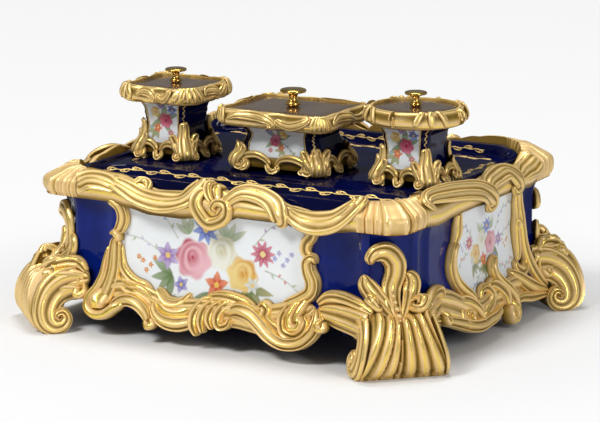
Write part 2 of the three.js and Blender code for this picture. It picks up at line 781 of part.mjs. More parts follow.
// Corners: a place is given across the corner, up, and out from the pilaster's face.
const pilasterDistance = (wallHalfLength + wallHalfDepth - cornerCant) * diagonal;
const cornerOffset = (wallHalfLength - wallHalfDepth) * diagonal;

function cornerPoint(signX, signY, across, up, out) {
  const x = (pilasterDistance + out) * diagonal + (cornerOffset + across) * diagonal;
  const y = (pilasterDistance + out) * diagonal - (cornerOffset + across) * diagonal;
  return point(signX * x, signY * y, up);
}

const cornerHost = (signX, signY) => (u, v, out) => (
  cornerPoint(signX, signY, u, v, facetFlare(v, cornerFlareAt) + out)
);

// Console feet: a scrolled profile, wide at the ground, with ridges that fan down its outer face.
const footOutlineShares = [
  [0.273, 1.071], [0.447, 1.041], [0.62, 0.969], [0.782, 0.857], [0.906, 0.704], [0.98, 0.531], [1, 0.347],
  [0.963, 0.194], [0.881, 0.078], [0.744, 0], [0.347, 0], [0.248, 0.061], [0.218, 0.163],
];
const footRidgedPoints = 9;
const footSeatTopShare = 1.035;
const footCurlShare = 0.273;
const footSteps = 6;
const footEyeShares = [0.484, 0.214];
const footEyeSeatShare = 0.95;
const footEyeSectionShares = [[1, 0.4], [0.6, 1]];
const armSteps = 6;

// The foot's section as places out from the pilaster and up, from its seat on the wall round to it again.
function footSection() {
  const seat = (up) => [facetFlare(up, cornerFlareAt) + footSeatClearance, up];
  const under = footBackHeight;
  const outline = footOutlineShares.map(([out, up]) => [out * footReach, up * footHeight]);
  const knee = wallLevels.find((z) => z > cornerFlareStart - cornerFlareRun);
  return [
    seat(footHeight * footSeatTopShare),
    ...outline,
    [footReach * footCurlShare, under],
    [cornerFlare + footSeatClearance, under],
    seat(knee),
  ];
}

function footCore(signX, signY) {
  const rings = [];
  for (let i = 0; i <= footSteps; i++) {
    const side = 2 * i / footSteps - 1;
    const ridge = i % 2 ? 0 : footFluteDepth;
    rings.push(footSection().map(([out, up], j) => {
      const spread = smooth(up / footHeight);
      const half = blend(footBaseHalfWidth, footTopHalfWidth, spread);
      const sunk = j > 0 && j <= footRidgedPoints ? footFluteDepth - ridge : 0;
      return cornerPoint(signX, signY, side * half, up, out - sunk);
    }));
  }
  return solidOf(loftRings(rings, false, footSection()));
}

function footEye(signX, signY, side) {
  const half = footBaseHalfWidth * footEyeSeatShare;
  const out = footEyeShares[0] * footReach;
  const up = footEyeShares[1] * footHeight;
  const ringAt = (across, radius) => {
    const ring = [];
    for (let i = 0; i < eyeSides; i++) {
      const angle = i / eyeSides * 2 * Math.PI;
      const place = [up + radius * Math.sin(angle), out + radius * Math.cos(angle)];
      ring.push(cornerPoint(signX, signY, side * across, ...place));
    }
    return ring;
  };
  const rings = footEyeSectionShares.map(([reach, rise]) => (
    ringAt(half + rise * footEyeProud, reach * footEyeRadius)
  ));
  rings.unshift(ringAt(half - footEyeDepth, footEyeRadius));
  return solidOf(loftRings(rings));
}

// A scroll arm runs from beside the frame up along the wall's foot and out into the console's end.
const armAlongShares = [0, 0.2, 0.47, 0.72, 0.93, 1];
const armUpShares = [0.78, 0.77, 0.755, 0.7, 0.57, 0.38];
const armOutShares = [0.043, 0.043, 0.114, 0.357, 0.786, 1];
const armWidthShares = [0.45, 0.9, 1, 0.9, 0.72, 0.5];
const armRiseShares = [0.42, 0.75, 0.92, 1, 1, 1];

function armPlaces(start, end) {
  return armAlongShares.map((share, i) => (
    point(blend(start, end, share), armUpShares[i] * footHeight, armOutShares[i] * armReach)
  ));
}

function arm(host, start, end) {
  const curve = new THREE.CatmullRomCurve3(armPlaces(start, end), false, 'centripetal');
  const rings = [];
  for (let i = 0; i <= armSteps; i++) {
    const t = i / armSteps;
    const middle = curve.getPoint(t);
    const tangent = curve.getTangent(t);
    const length = Math.hypot(tangent.x, tangent.y);
    const half = along(armWidthShares, t) * armWidth / 2;
    const high = along(armRiseShares, t) * armRise;
    rings.push(bandSectionShares.map(([side, rise]) => host(
      middle.x - tangent.y / length * side * half,
      middle.y + tangent.x / length * side * half,
      gap + middle.z + rise * high,
    )));
  }
  return solidOf(loftRings(rings));
}

const mirrored = (host, signX, signY) => (u, v, out) => host(u, v, out).multiply(point(signX, signY, 1));
const longFrontArmShare = 0.627;
const shortFrontArmShare = 0.74;
const longSideArmShare = 0.534;
const shortSideArmShare = 0.763;

function scrollFoot(signX, signY, frontShare, sideShare) {
  const solids = [footCore(signX, signY), footEye(signX, signY, 1), footEye(signX, signY, -1)];
  const front = mirrored(frontHost, signX, -signY);
  const side = mirrored(rightHost, signX, -signY);
  solids.push(arm(front, frontShare * wallHalfLength, wallHalfLength - armEndInset));
  solids.push(arm(side, -sideShare * wallHalfDepth, armEndInset - wallHalfDepth));
  return geometryOf(joined(solids));
}

addPiece('scroll_foot_front_left', scrollFoot(-1, -1, shortFrontArmShare, shortSideArmShare), 'gilding');
addPiece('scroll_foot_front_right', scrollFoot(1, -1, longFrontArmShare, longSideArmShare), 'gilding');
addPiece('scroll_foot_back_left', scrollFoot(-1, 1, longFrontArmShare, longSideArmShare), 'gilding');
addPiece('scroll_foot_back_right', scrollFoot(1, 1, shortFrontArmShare, shortSideArmShare), 'gilding');

// Acanthus sprigs on the pilasters: a long leaf that curls at its tip, and a short leaf on each side.
const leafScrollShares = [
  {
    placeShares: [
      [0, 0.562], [0.113, 0.656], [0.17, 0.76], [0, 0.854], [-0.396, 0.906], [-0.792, 0.885],
      [-0.962, 0.823],
    ],
    widthShares: [0.5, 0.86, 1, 0.79, 0.43],
    riseShares: [0.57, 0.71, 1, 0.71],
  },
  {
    placeShares: [[-0.113, 0.562], [-0.452, 0.625], [-0.792, 0.698], [-1.018, 0.771]],
    widthShares: [0.43, 0.64, 0.57, 0.21],
    riseShares: [0.57, 0.86, 0.43],
  },
  {
    placeShares: [[0.17, 0.562], [0.509, 0.625], [0.735, 0.698], [0.679, 0.771]],
    widthShares: [0.43, 0.64, 0.64, 0.36],
    riseShares: [0.57, 0.86, 0.43],
  },
];

function acanthusSprig(signX, signY) {
  const host = cornerHost(signX, signY);
  const across = cornerCant * diagonal;
  return geometryOf(joined(bands(host, leafScrollShares, across, ledgeHeight, leafWidth, leafRise)));
}

addPiece('acanthus_sprig_front_left', acanthusSprig(-1, -1), 'gilding');
addPiece('acanthus_sprig_front_right', acanthusSprig(1, -1), 'gilding');
addPiece('acanthus_sprig_back_left', acanthusSprig(-1, 1), 'gilding');
addPiece('acanthus_sprig_back_right', acanthusSprig(1, 1), 'gilding');

// Pots: waisted square bodies with canted corners. Two hold ink, and the middle one pounce or wafers.
const potBodyProfileShares = [[0, 1.07], [0.18, 1], [0.45, 0.95], [0.75, 1.02], [0.93, 1.17], [1, 1.22]];
const boxBodyProfileShares = [[0, 0.94], [0.2, 1], [0.42, 0.98], [0.68, 0.9], [0.92, 1.02], [1, 1.08]];
const potCantShare = 0.3;
const linerWall = 2;
const linerClearance = 0.4;
const plateThickness = 1.5;
const rimRebate = 1.3;
const baseWall = 2.4;
const baseFlange = 2.6;
const studRadius = 1.6;
const studHoleRadius = 2;
const nutAcross = 3.6;
const nutHeight = 2.2;
const nutSides = 6;
const collarHeight = 8;
const collarWall = 1.2;

const sidePot = {
  halfX: 18.5,
  halfY: 18.5,
  footRise: 7.5,
  bodyHeight: 38.2,
  profile: potBodyProfileShares,
  bore: 16,
  plateRise: 8.8,
  rimRise: 0.6,
  rimReach: 5.8,
  lipDrop: 2.4,
  waveCount: 8,
  waveDepth: 1.3,
  knobRadius: 8,
  knobHeight: 10.8,
  footReach: 7.5,
  leafHeight: 21.2,
};
const squarePlate = { plateX: 27.5, plateY: 27.5, plateCorner: 12 };
const roundPlate = { plateX: 29.5, plateY: 29.5, plateCorner: 29.5 };
const box = {
  halfX: 33,
  halfY: 24,
  footRise: 6.5,
  bodyHeight: 29.6,
  profile: boxBodyProfileShares,
  bore: 17,
  plateX: 40.5,
  plateY: 32.5,
  plateCorner: 5,
  plateRise: 9.4,
  rimRise: 0.6,
  rimReach: 5.8,
  lipDrop: 1.8,
  waveCount: 12,
  waveDepth: 1.5,
  knobRadius: 9.6,
  knobHeight: 13,
  footReach: 10,
  leafHeight: 14.2,
};

// A pot with the heights that stand on one another, from the tray's floor up.
function stacked(name, x, sizes) {
  const floor = trayFloor + gap;
  const bodyFoot = floor + sizes.footRise;
  const bodyTop = bodyFoot + sizes.bodyHeight;
  const plateTop = bodyTop + sizes.plateRise;
  const rimTop = plateTop + sizes.rimRise;
  return { ...sizes, name, x, floor, bodyFoot, bodyTop, plateTop, rimTop };
}

const pots = [
  stacked('left_pot', -potSpacing, { ...sidePot, ...squarePlate }),
  stacked('centre_box', 0, box),
  stacked('right_pot', potSpacing, { ...sidePot, ...roundPlate }),
];

// The canted square of a pot's body, as points round the pot's axis.
function cantedRing(pot, scale, offset, z) {
  const halfX = pot.halfX * scale + offset;
  const halfY = pot.halfY * scale + offset;
  const cant = Math.min(pot.halfX, pot.halfY) * scale * potCantShare + offset * (2 - Math.SQRT2);
  const quarter = [[halfX, 0], [halfX, (halfY - cant) / 2], [halfX, halfY - cant]];
  quarter.push([halfX - cant, halfY], [(halfX - cant) / 2, halfY], [0, halfY]);
  const flat = quarter.slice();
  quarter.slice(0, -1).reverse().forEach(([x, y]) => flat.push([-x, y]));
  quarter.slice(1).forEach(([x, y]) => flat.push([-x, -y]));
  quarter.slice(1, -1).reverse().forEach(([x, y]) => flat.push([x, -y]));
  return flat.map(([x, y]) => point(pot.x + x, potRow + y, z));
}

// A round ring with as many points as another ring, evenly spaced and in step with it.
function roundRing(pot, like, radius, z) {
  const phaseShare = Math.abs(like[0].y - potRow) > gap ? 0.5 : 0;
  return like.map((p, i) => {
    const angle = (i + phaseShare) / like.length * 2 * Math.PI;
    return point(pot.x + radius * Math.cos(angle), potRow + radius * Math.sin(angle), z);
  });
}

function profileScale(pot, z) {
  const share = (z - pot.bodyFoot) / (pot.bodyTop - pot.bodyFoot);
  const table = pot.profile;
  let i = 0;
  while (i < table.length - 2 && share > table[i + 1][0]) {
    i += 1;
  }
  const [start, a] = table[i];
  const [end, b] = table[i + 1];
  return blend(a, b, clampShare((share - start) / (end - start)));
}

function potBody(pot) {
  const rings = pot.profile.map(([share, scale]) => (
    cantedRing(pot, scale, 0, blend(pot.bodyFoot, pot.bodyTop, share))
  ));
  const top = rings[rings.length - 1];
  rings.push(roundRing(pot, top, pot.bore, pot.bodyTop));
  rings.push(roundRing(pot, top, pot.bore, pot.bodyFoot + baseWall));
  return loftRings(rings);
}

// The well that holds the ink: a tumbler with a flange that rests on the body's top.
const linerFlange = 3.2;
const linerFlangeHeight = 1.6;
const latheSides = 16;

function lathe(pot, profile, sides = latheSides) {
  const points = profile.map(([r, z]) => new THREE.Vector2(r, z));
  const geometry = new THREE.LatheGeometry(points, sides);
  geometry.deleteAttribute('uv');
  geometry.deleteAttribute('normal');
  geometry.rotateX(Math.PI / 2);
  geometry.translate(pot.x, potRow, 0);
  const merged = mergeVertices(geometry);
  const faces = [];
  for (let i = 0; i < merged.index.count; i += 3) {
    const [a, b, c] = merged.index.array.slice(i, i + 3);
    if (a !== b && b !== c && c !== a) {
      faces.push(a, b, c);
    }
  }
  merged.setIndex(faces);
  return outward(merged);
}

function liner(pot) {
  const outer = pot.bore - linerClearance;
  const inner = outer - linerWall;
  const foot = pot.bodyFoot + baseWall + gap;
  const seat = pot.bodyTop + gap;
  const top = seat + linerFlangeHeight;
  return lathe(pot, [
    [0, foot], [outer, foot], [outer, seat], [pot.bore + linerFlange, seat],
    [pot.bore + linerFlange, top], [inner, top], [inner, foot + linerWall], [0, foot + linerWall],
  ]);
}

// The outline of a lid's plate: a rectangle with round corners, or a circle.
function plateRing(pot, offset, z) {
  const arcSteps = pot.plateCorner === pot.plateX ? 7 : 5;
  const ring = roundedRectangle(
    pot.plateX + offset, pot.plateY + offset, pot.plateCorner + Math.max(offset, 0), potRow, z, arcSteps);
  const distinct = ring.filter((p, i) => p.distanceTo(ring[(i + 1) % ring.length]) > gap);
  return distinct.map((p) => point(p.x + pot.x, p.y, z));
}

// A gilt rim with a serpentine edge, rebated for the plate and dropping in a lip round the body's top.
const potRimShares = [[0.3, 0], [0.72, 0.14], [1, 0.5], [0.9, 0.86], [0.62, 1]];
const lipInset = 2.4;

function potRim(pot) {
  const seat = pot.bodyTop + gap;
  const ledge = pot.plateTop - plateThickness - gap;
  const rimFoot = pot.bodyTop - pot.lipDrop;
  const inner = (z) => roundRing(pot, plateRing(pot, 0, z), pot.bore + linerFlange + linerClearance, z);
  const rings = [inner(seat), inner(ledge), plateRing(pot, gap, ledge)];
  rings.push(plateRing(pot, gap, pot.rimTop - rimRebate));
  potRimShares.forEach(([reach, drop]) => {
    const z = blend(pot.rimTop, rimFoot, drop);
    const ring = plateRing(pot, pot.rimReach * reach, z);
    rings.push(ring.map((p, i) => {
      const wave = Math.cos(i / ring.length * 2 * Math.PI * pot.waveCount);
      const away = point(p.x - pot.x, p.y - potRow, 0).normalize();
      return p.addScaledVector(away, wave * pot.waveDepth * reach);
    }));
  });
  rings.push(plateRing(pot, lipInset, rimFoot), plateRing(pot, lipInset, seat));
  return loftRings(rings, true);
}

// The gilt mount under a body: a flanged apron with four scroll feet, and a leaf up each corner.
const apronRise = 6;
const apronFlare = 1.6;
const baseClearance = 0.4;
const footBlock = 5.5;
const potLeafWidth = 11.5;
const potLeafRise = 3.4;
const potLeafWidthShares = [0.89, 1, 0.8, 0.5];
const potLeafRiseShares = [0.88, 1, 0.59];
const potLeafBendShare = 0.4;
const potLeafSwing = 1;
const footSideShare = 0.85;
const scrollFootShares = [
  [-0.3, 1], [0.35, 0.92], [0.85, 0.62], [1, 0.3], [0.8, 0], [0.12, 0], [-0.12, 0.2], [-0.3, 0.5],
];

function potBase(pot) {
  const scale = pot.profile[0][1];
  const widest = Math.max(...pot.profile.slice(0, 3).map(([, share]) => share));
  const flangeTop = pot.bodyFoot - gap;
  const flangeFoot = flangeTop - baseFlange;
  const top = pot.bodyFoot + apronRise;
  const wall = baseClearance + baseWall;
  const outerFoot = cantedRing(pot, widest, wall + apronFlare, flangeFoot);
  const rings = [
    outerFoot,
    cantedRing(pot, widest, wall, top),
    cantedRing(pot, widest, baseClearance, top),
    cantedRing(pot, widest, baseClearance, flangeTop),
    roundRing(pot, outerFoot, pot.bore - linerWall, flangeTop),
    roundRing(pot, outerFoot, pot.bore - linerWall, flangeFoot),
  ];
  const solids = [solidOf(loftRings(rings, true))];
  const cant = Math.min(pot.halfX, pot.halfY) * widest * potCantShare;
  const cornerX = pot.halfX * widest - cant / 2;
  const cornerY = pot.halfY * widest - cant / 2;
  [[1, 1], [-1, 1], [-1, -1], [1, -1]].forEach(([sx, sy]) => {
    const host = (u, v, out) => {
      const lean = (profileScale(pot, v) - widest) * Math.min(pot.halfX, pot.halfY);
      const away = (out + baseClearance + Math.min(lean, 0)) * diagonal;
      const side = u * diagonal;
      return point(pot.x + sx * (cornerX + away + side), potRow + sy * (cornerY + away - side), v);
    };
    const height = top - pot.floor;
    const footRings = [-1, 0, 1].map((side) => scrollFootShares.map(([out, up]) => (
      host(side * footBlock, pot.floor + up * height, 0)
        .add(point(sx, sy, 0).multiplyScalar((out * pot.footReach * (side ? footSideShare : 1)) * diagonal))
    )));
    solids.push(solidOf(loftRings(footRings, false, scrollFootShares)));
    const leafTop = pot.bodyFoot + pot.leafHeight;
    const leafBend = blend(top, leafTop, potLeafBendShare);
    solids.push(band(
      host,
      [[0, top - apronRise / 2], [potLeafSwing / 2, leafBend], [-potLeafSwing, leafTop]],
      potLeafWidthShares.map((share) => share * potLeafWidth),
      potLeafRiseShares.map((share) => share * potLeafRise),
    ));
  });
  const inside = loftRings([
    cantedRing(pot, widest, baseClearance, flangeTop),
    cantedRing(pot, widest, baseClearance, top + overrun),
  ]);
  const under = loftRings([
    roundRing(pot, outerFoot, pot.bore - linerWall, pot.floor - overrun),
    roundRing(pot, outerFoot, pot.bore - linerWall, flangeTop + gap),
  ]);
  return geometryOf(joined(solids).subtract(solidOf(inside)).subtract(solidOf(under)));
}

// A lid: a polished plate, a locating collar under it, and a turned knob held by a nut.
function extrudedRing(outer, innerRing, foot, top) {
  const at = (ring, z) => ring.map((p) => point(p.x, p.y, z));
  return loftRings([at(outer, foot), at(outer, top), at(innerRing, top), at(innerRing, foot)], true);
}

function lidPlate(pot) {
  const outer = plateRing(pot, 0, 0);
  const hole = roundRing(pot, outer, studHoleRadius, 0);
  return extrudedRing(outer, hole, pot.plateTop - plateThickness, pot.plateTop);
}

function lidCollar(pot) {
  const radius = pot.bore - linerClearance - linerWall - linerClearance;
  const top = pot.plateTop - plateThickness - gap;
  return lathe(pot, [
    [radius - collarWall, top - collarHeight], [radius, top - collarHeight],
    [radius, top], [radius - collarWall, top],
    [radius - collarWall, top - collarHeight],
  ]);
}

const knobShares = [[0, 0.4], [0.16, 0.56], [0.34, 0.36], [0.6, 0.33], [0.74, 0.6], [0.82, 1], [0.94, 0.97]];
const knobSides = 16;

function lidKnob(pot) {
  const foot = pot.plateTop + gap;
  const stud = pot.plateTop - plateThickness - gap - nutHeight;
  const profile = [[0, stud], [studRadius, stud], [studRadius, foot]];
  knobShares.forEach(([up, out]) => profile.push([out * pot.knobRadius, foot + up * pot.knobHeight]));
  profile.push([0, foot + pot.knobHeight]);
  return lathe(pot, profile, knobSides);
}

function lidNut(pot) {
  const top = pot.plateTop - plateThickness - gap;
  const hexagon = [];
  for (let i = 0; i < nutSides * 2; i++) {
    const angle = i / nutSides * Math.PI;
    const reach = nutAcross * (i % 2 ? Math.cos(Math.PI / nutSides) : 1);
    hexagon.push(point(pot.x + reach * Math.cos(angle), potRow + reach * Math.sin(angle), 0));
  }
  return extrudedRing(hexagon, roundRing(pot, hexagon, studHoleRadius, 0), top - nutHeight, top);
}

pots.forEach((pot) => {
  addPiece(`${pot.name}_base`, potBase(pot), 'gilding');
  addPiece(`${pot.name}_body`, potBody(pot), 'cobalt');
  addPiece(`${pot.name}_rim`, potRim(pot), 'gilding');
  addPiece(`${pot.name}_liner`, liner(pot), 'liner');
  addPiece(`${pot.name}_lid_plate`, lidPlate(pot), 'bronze');
  addPiece(`${pot.name}_lid_collar`, lidCollar(pot), 'brass');
  addPiece(`${pot.name}_lid_knob`, lidKnob(pot), 'brass');
  addPiece(`${pot.name}_lid_nut`, lidNut(pot), 'brass');
});

export default inkstand;
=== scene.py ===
import math

import bmesh
import bpy
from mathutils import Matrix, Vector


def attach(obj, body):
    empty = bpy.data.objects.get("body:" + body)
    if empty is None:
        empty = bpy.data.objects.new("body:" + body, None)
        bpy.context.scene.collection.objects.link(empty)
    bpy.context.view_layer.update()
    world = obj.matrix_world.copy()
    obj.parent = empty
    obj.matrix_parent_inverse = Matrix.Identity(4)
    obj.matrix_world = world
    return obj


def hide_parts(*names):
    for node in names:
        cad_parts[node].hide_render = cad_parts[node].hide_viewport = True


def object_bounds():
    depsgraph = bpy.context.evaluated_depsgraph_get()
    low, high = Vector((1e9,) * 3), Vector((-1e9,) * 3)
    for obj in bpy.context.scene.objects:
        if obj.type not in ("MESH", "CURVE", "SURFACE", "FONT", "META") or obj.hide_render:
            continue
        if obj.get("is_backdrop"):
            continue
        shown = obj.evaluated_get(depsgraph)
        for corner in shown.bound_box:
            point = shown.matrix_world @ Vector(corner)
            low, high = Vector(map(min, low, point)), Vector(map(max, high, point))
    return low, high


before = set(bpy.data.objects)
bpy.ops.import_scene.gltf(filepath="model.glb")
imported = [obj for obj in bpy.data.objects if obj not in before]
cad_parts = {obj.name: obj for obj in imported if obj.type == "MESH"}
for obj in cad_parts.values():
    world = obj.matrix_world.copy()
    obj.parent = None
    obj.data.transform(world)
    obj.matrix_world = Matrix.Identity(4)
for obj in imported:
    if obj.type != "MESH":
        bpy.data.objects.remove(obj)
low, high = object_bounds()
cad_box = [list(low), list(high)]

# Studio: a camera at the photograph's angle, about two metres off, with a soft key from the upper left,
# a narrow fill from the right and a broad lamp overhead.
view_target = Vector((-0.0012, 0.0, 0.0757))
view_distance = 2.2
view_azimuth = math.radians(29.6)
view_elevation = math.radians(12.4)
back = Vector((
    math.sin(view_azimuth) * math.cos(view_elevation),
    -math.cos(view_azimuth) * math.cos(view_elevation),
    math.sin(view_elevation),
))
camera_data = bpy.data.cameras.new("camera")
camera_data.lens = 180
camera_data.sensor_width = 36
camera = bpy.data.objects.new("camera", camera_data)
camera.location = view_target + back * view_distance
camera.rotation_euler = back.to_track_quat("Z", "Y").to_euler()
bpy.context.scene.collection.objects.link(camera)
bpy.context.scene.camera = camera
bpy.context.scene.view_settings.view_transform = "Standard"


def soft_lamp(name, place, width, height, power):
    data = bpy.data.lights.new(name, "AREA")
    data.shape = "RECTANGLE"
    data.size = width
    data.size_y = height
    data.energy = power
    lamp = bpy.data.objects.new(name, data)
    lamp.location = place
    lamp.rotation_euler = (Vector(place) - view_target).to_track_quat("Z", "Y").to_euler()
    bpy.context.scene.collection.objects.link(lamp)


soft_lamp("key_lamp", (-0.5, -1.6, 1.9), 0.6, 0.6, 38)
soft_lamp("fill_lamp", (1.9, -0.9, 1.0), 0.4, 1.0, 15)
soft_lamp("top_lamp", (-0.2, 0.3, 2.3), 0.9, 0.7, 26)


class Wire:
    """A socket of a finish's node tree, with arithmetic on it."""

    def __init__(self, finish, socket):
        self.finish = finish
        self.socket = socket

    def math(self, operation, *values):
        return self.finish.node("ShaderNodeMath", {"operation": operation}, dict(enumerate(values)))

    def __add__(self, other):
        return self.math("ADD", self, other)

    def __radd__(self, other):
        return self.math("ADD", other, self)

    def __sub__(self, other):
        return self.math("SUBTRACT", self, other)

    def __rsub__(self, other):
        return self.math("SUBTRACT", other, self)

    def __mul__(self, other):
        return self.math("MULTIPLY", self, other)

    def __rmul__(self, other):
        return self.math("MULTIPLY", other, self)


class Finish:
    """One material: its node tree, and the one way that nodes are added to it."""

    def __init__(self, name):
        self.material = bpy.data.materials.new(name)
        self.material.use_nodes = True
        self.tree = self.material.node_tree
        self.tree.nodes.clear()

    def node(self, kind, settings=None, values=None, output=0):
        """Adds a node: its settings first, then the values or links of its sockets."""
        node = self.tree.nodes.new(kind)
        for key, value in (settings or {}).items():
            if key == "stops":
                ramp = node.color_ramp
                while len(ramp.elements) < len(value):
                    ramp.elements.new(1.0)
                for element, (position, colour) in zip(ramp.elements, value):
                    element.position = position
                    element.color = (*colour, 1.0)
            else:
                setattr(node, key, value)
        for key, value in (values or {}).items():
            if isinstance(value, Wire):
                self.tree.links.new(value.socket, node.inputs[key])
            else:
                node.inputs[key].default_value = value
        return Wire(self, node.outputs[output] if node.outputs else None)

    def end(self, shader):
        self.node("ShaderNodeOutputMaterial", values={"Surface": shader})
        return self.material

    def surface(self, values):
        """Ends the finish as a glazed or metal surface."""
        return self.end(self.node("ShaderNodeBsdfPrincipled", values=values))

    def ramp(self, shade, *stops):
        return self.node("ShaderNodeValToRGB", {"stops": stops}, {"Fac": shade})

    def spots(self, scale, detail=3.0):
        """Cloudy noise that is fixed to the piece."""
        place = self.node("ShaderNodeTexCoord", output=3)
        values = {"Vector": place, "Scale": scale, "Detail": detail}
        return self.node("ShaderNodeTexNoise", values=values)

    def bumped(self, height, distance):
        return self.node("ShaderNodeBump", values={"Height": height, "Distance": distance, "Strength": 1.0})


# Floor: a pale matt sheet that keeps the shadow and fades to white away from the inkstand, in a room
# with a weak, slightly cool light.
floor_data = bpy.data.meshes.new("floor")
floor_mesh = bmesh.new()
bmesh.ops.create_grid(floor_mesh, x_segments=1, y_segments=1, size=6.0)
floor_mesh.to_mesh(floor_data)
floor_mesh.free()
floor = bpy.data.objects.new("floor", floor_data)
bpy.context.scene.collection.objects.link(floor)
floor_finish = Finish("pale_floor")
floor_diffuse = floor_finish.node("ShaderNodeBsdfDiffuse", values={"Color": (0.74, 0.74, 0.74, 1.0)})
floor_glow = floor_finish.node("ShaderNodeEmission", values={"Color": (1.0, 1.0, 1.0, 1.0), "Strength": 1.0})
spot = floor_finish.node("ShaderNodeTexCoord", output=3)
distance = floor_finish.node("ShaderNodeVectorMath", {"operation": "LENGTH"}, {0: spot}, 1)
away = floor_finish.node("ShaderNodeMapRange", {"interpolation_type": "SMOOTHSTEP"}, {
    "Value": distance, "From Min": 0.14, "From Max": 0.38, "To Min": 0.0, "To Max": 0.85})
seen = floor_finish.node("ShaderNodeLightPath") * away
floor_data.materials.append(floor_finish.end(
    floor_finish.node("ShaderNodeMixShader", values={0: seen, 1: floor_diffuse, 2: floor_glow})
))
floor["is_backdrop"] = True

world = bpy.data.worlds.new("room")
world.use_nodes = True
world.node_tree.nodes["Background"].inputs["Color"].default_value = (0.92, 0.95, 1.0, 1.0)
world.node_tree.nodes["Background"].inputs["Strength"].default_value = 0.20
bpy.context.scene.world = world

# Stand: one press-moulded porcelain body under cobalt glaze, with concave wings beside each reserve,
# ribbed pilasters at the canted corners, a tray with a parapet, and the pen trough sunk in its front.
half_length = 0.142
half_depth = 0.118
corner_cant = 0.025
wall_thickness = 0.005
skirt_height = 0.012
shoulder_height = 0.084
ledge_height = 0.096
tray_floor = 0.11
trough_floor = 0.1
trough_half = 0.126
trough_front = -0.1025
trough_rear = -0.059
trough_radius = 0.02
recess_half = 0.128
recess_front = -0.104
recess_rear = 0.099
recess_radius = 0.024
underside = 0.0945
ridge_width = 0.0032
ridge_height = 0.0016
wing_depth = 0.003
block_inset = 0.0125
side_share = 0.42


def blend(a, b, t):
    return a + (b - a) * t


def clamp(t):
    return min(1.0, max(0.0, t))


def ease(t):
    t = clamp(t)
    return t * t * (3 - 2 * t)


def flare(z, start, run, reach):
    """How far the wall swings out: widely towards its skirt, and a little under the ledge."""
    low_share = clamp((start - z) / run)
    high_share = clamp((z - shoulder_height) / (ledge_height - shoulder_height))
    return reach * low_share ** 1.6 + 0.0025 * high_share ** 2


def side_flare(z):
    return flare(z, 0.062, 0.050, 0.012)


def corner_flare(z):
    return flare(z, 0.060, 0.018, 0.017)


def side_relief(place, half, cant_start):
    """How far the wall stands out or in along one side, from the reserve to the pilaster."""
    panel_end = half * 0.62
    wing_end = cant_start - ridge_width
    if place > wing_end:
        return ridge_height * math.sin(math.pi * clamp((place - wing_end) / ridge_width))
    share = clamp((place - panel_end) / (wing_end - panel_end))
    return -wing_depth * math.sin(math.pi * share) ** 0.8


def quarter_turn(s):
    """The quarter of a plan that s is in, and how far it is from the side's middle to the front's."""
    turn = (s * 4) % 4
    quarter = int(turn)
    share = turn - quarter
    return quarter, 1 - share if quarter % 2 else share


def in_quarter(quarter, x, y):
    """A place in the first quarter, mirrored into its own."""
    return x * (-1 if quarter in (1, 2) else 1), y * (-1 if quarter in (2, 3) else 1)


def wall_plan(s, z, offset, relief=1.0):
    """The plan of the wall at a height: s runs once round it from the middle of the right side."""
    half_x = half_length + side_flare(z) + offset
    half_y = half_depth + side_flare(z) + offset
    cant_sum = half_length + half_depth - corner_cant + (corner_flare(z) + offset) * math.sqrt(2)
    quarter, share = quarter_turn(s)
    if share < side_share:
        place = share / side_share * (cant_sum - half_x)
        x = half_x + relief * side_relief(place, half_depth, cant_sum - half_x)
        y = place
    elif share > 1 - side_share:
        place = (1 - share) / side_share * (cant_sum - half_y)
        x = place
        y = half_y + relief * side_relief(place, half_length, cant_sum - half_y)
    else:
        t = (share - side_share) / (1 - 2 * side_share)
        rib = math.sin(math.pi * clamp(t / 0.12)) + math.sin(math.pi * clamp((1 - t) / 0.12))
        rise = relief * ridge_height * rib / math.sqrt(2)
        x = blend(half_x, cant_sum - half_y, t) + rise
        y = blend(cant_sum - half_x, half_y, t) + rise
    return in_quarter(quarter, x, y)


def rounded_plan(s, half_x, y_low, y_high, radius):
    """A rectangle with round corners, in step with the wall's plan."""
    half_y = (y_high - y_low) / 2
    quarter, share = quarter_turn(s)
    if share < side_share:
        x, y = half_x, share / side_share * (half_y - radius)
    elif share > 1 - side_share:
        x, y = (1 - share) / side_share * (half_x - radius), half_y
    else:
        angle = (share - side_share) / (1 - 2 * side_share) * math.pi / 2
        x = half_x - radius + radius * math.cos(angle)
        y = half_y - radius + radius * math.sin(angle)
    x, y = in_quarter(quarter, x, y)
    return x, y + (y_low + y_high) / 2


def trough_plan(s, inset):
    return rounded_plan(s, trough_half - inset, trough_front, trough_rear - inset, trough_radius)


def apron(x, y):
    """The wall's lower edge: low behind the frames and the feet, arched between them."""
    if abs(x) + abs(y) > half_length + half_depth - corner_cant - wall_thickness:
        return 0.025
    share = min(abs(x) / half_length, abs(y) / half_depth)
    return blend(0.022, 0.031, ease((share - 0.5) / 0.12))


def parapet(y):
    """The height of the parapet's coping, which steps up at the back."""
    return blend(0.113, 0.118, ease((y - 0.086) / 0.006))


weld_distance = 2e-6
crease_angle = 0.9


def skin(bm, across, steps, place):
    """A closed skin from a grid: place gives a point and a crest value for shares round and along it."""
    # The crest value is 1 on ridges and 0 in grooves and on hidden backs; the gilding paints shade and
    # highlight from it.
    crest = bm.verts.layers.float.get("crest")
    made = bmesh.ops.create_grid(bm, x_segments=across, y_segments=steps, size=0.5)["verts"]
    for vert in made:
        where, value = place(vert.co.x + 0.5, vert.co.y + 0.5)
        vert.co = where
        vert[crest] = value
    bmesh.ops.remove_doubles(bm, verts=made, dist=weld_distance)


def moulding():
    bm = bmesh.new()
    bm.verts.layers.float.new("crest")
    return bm


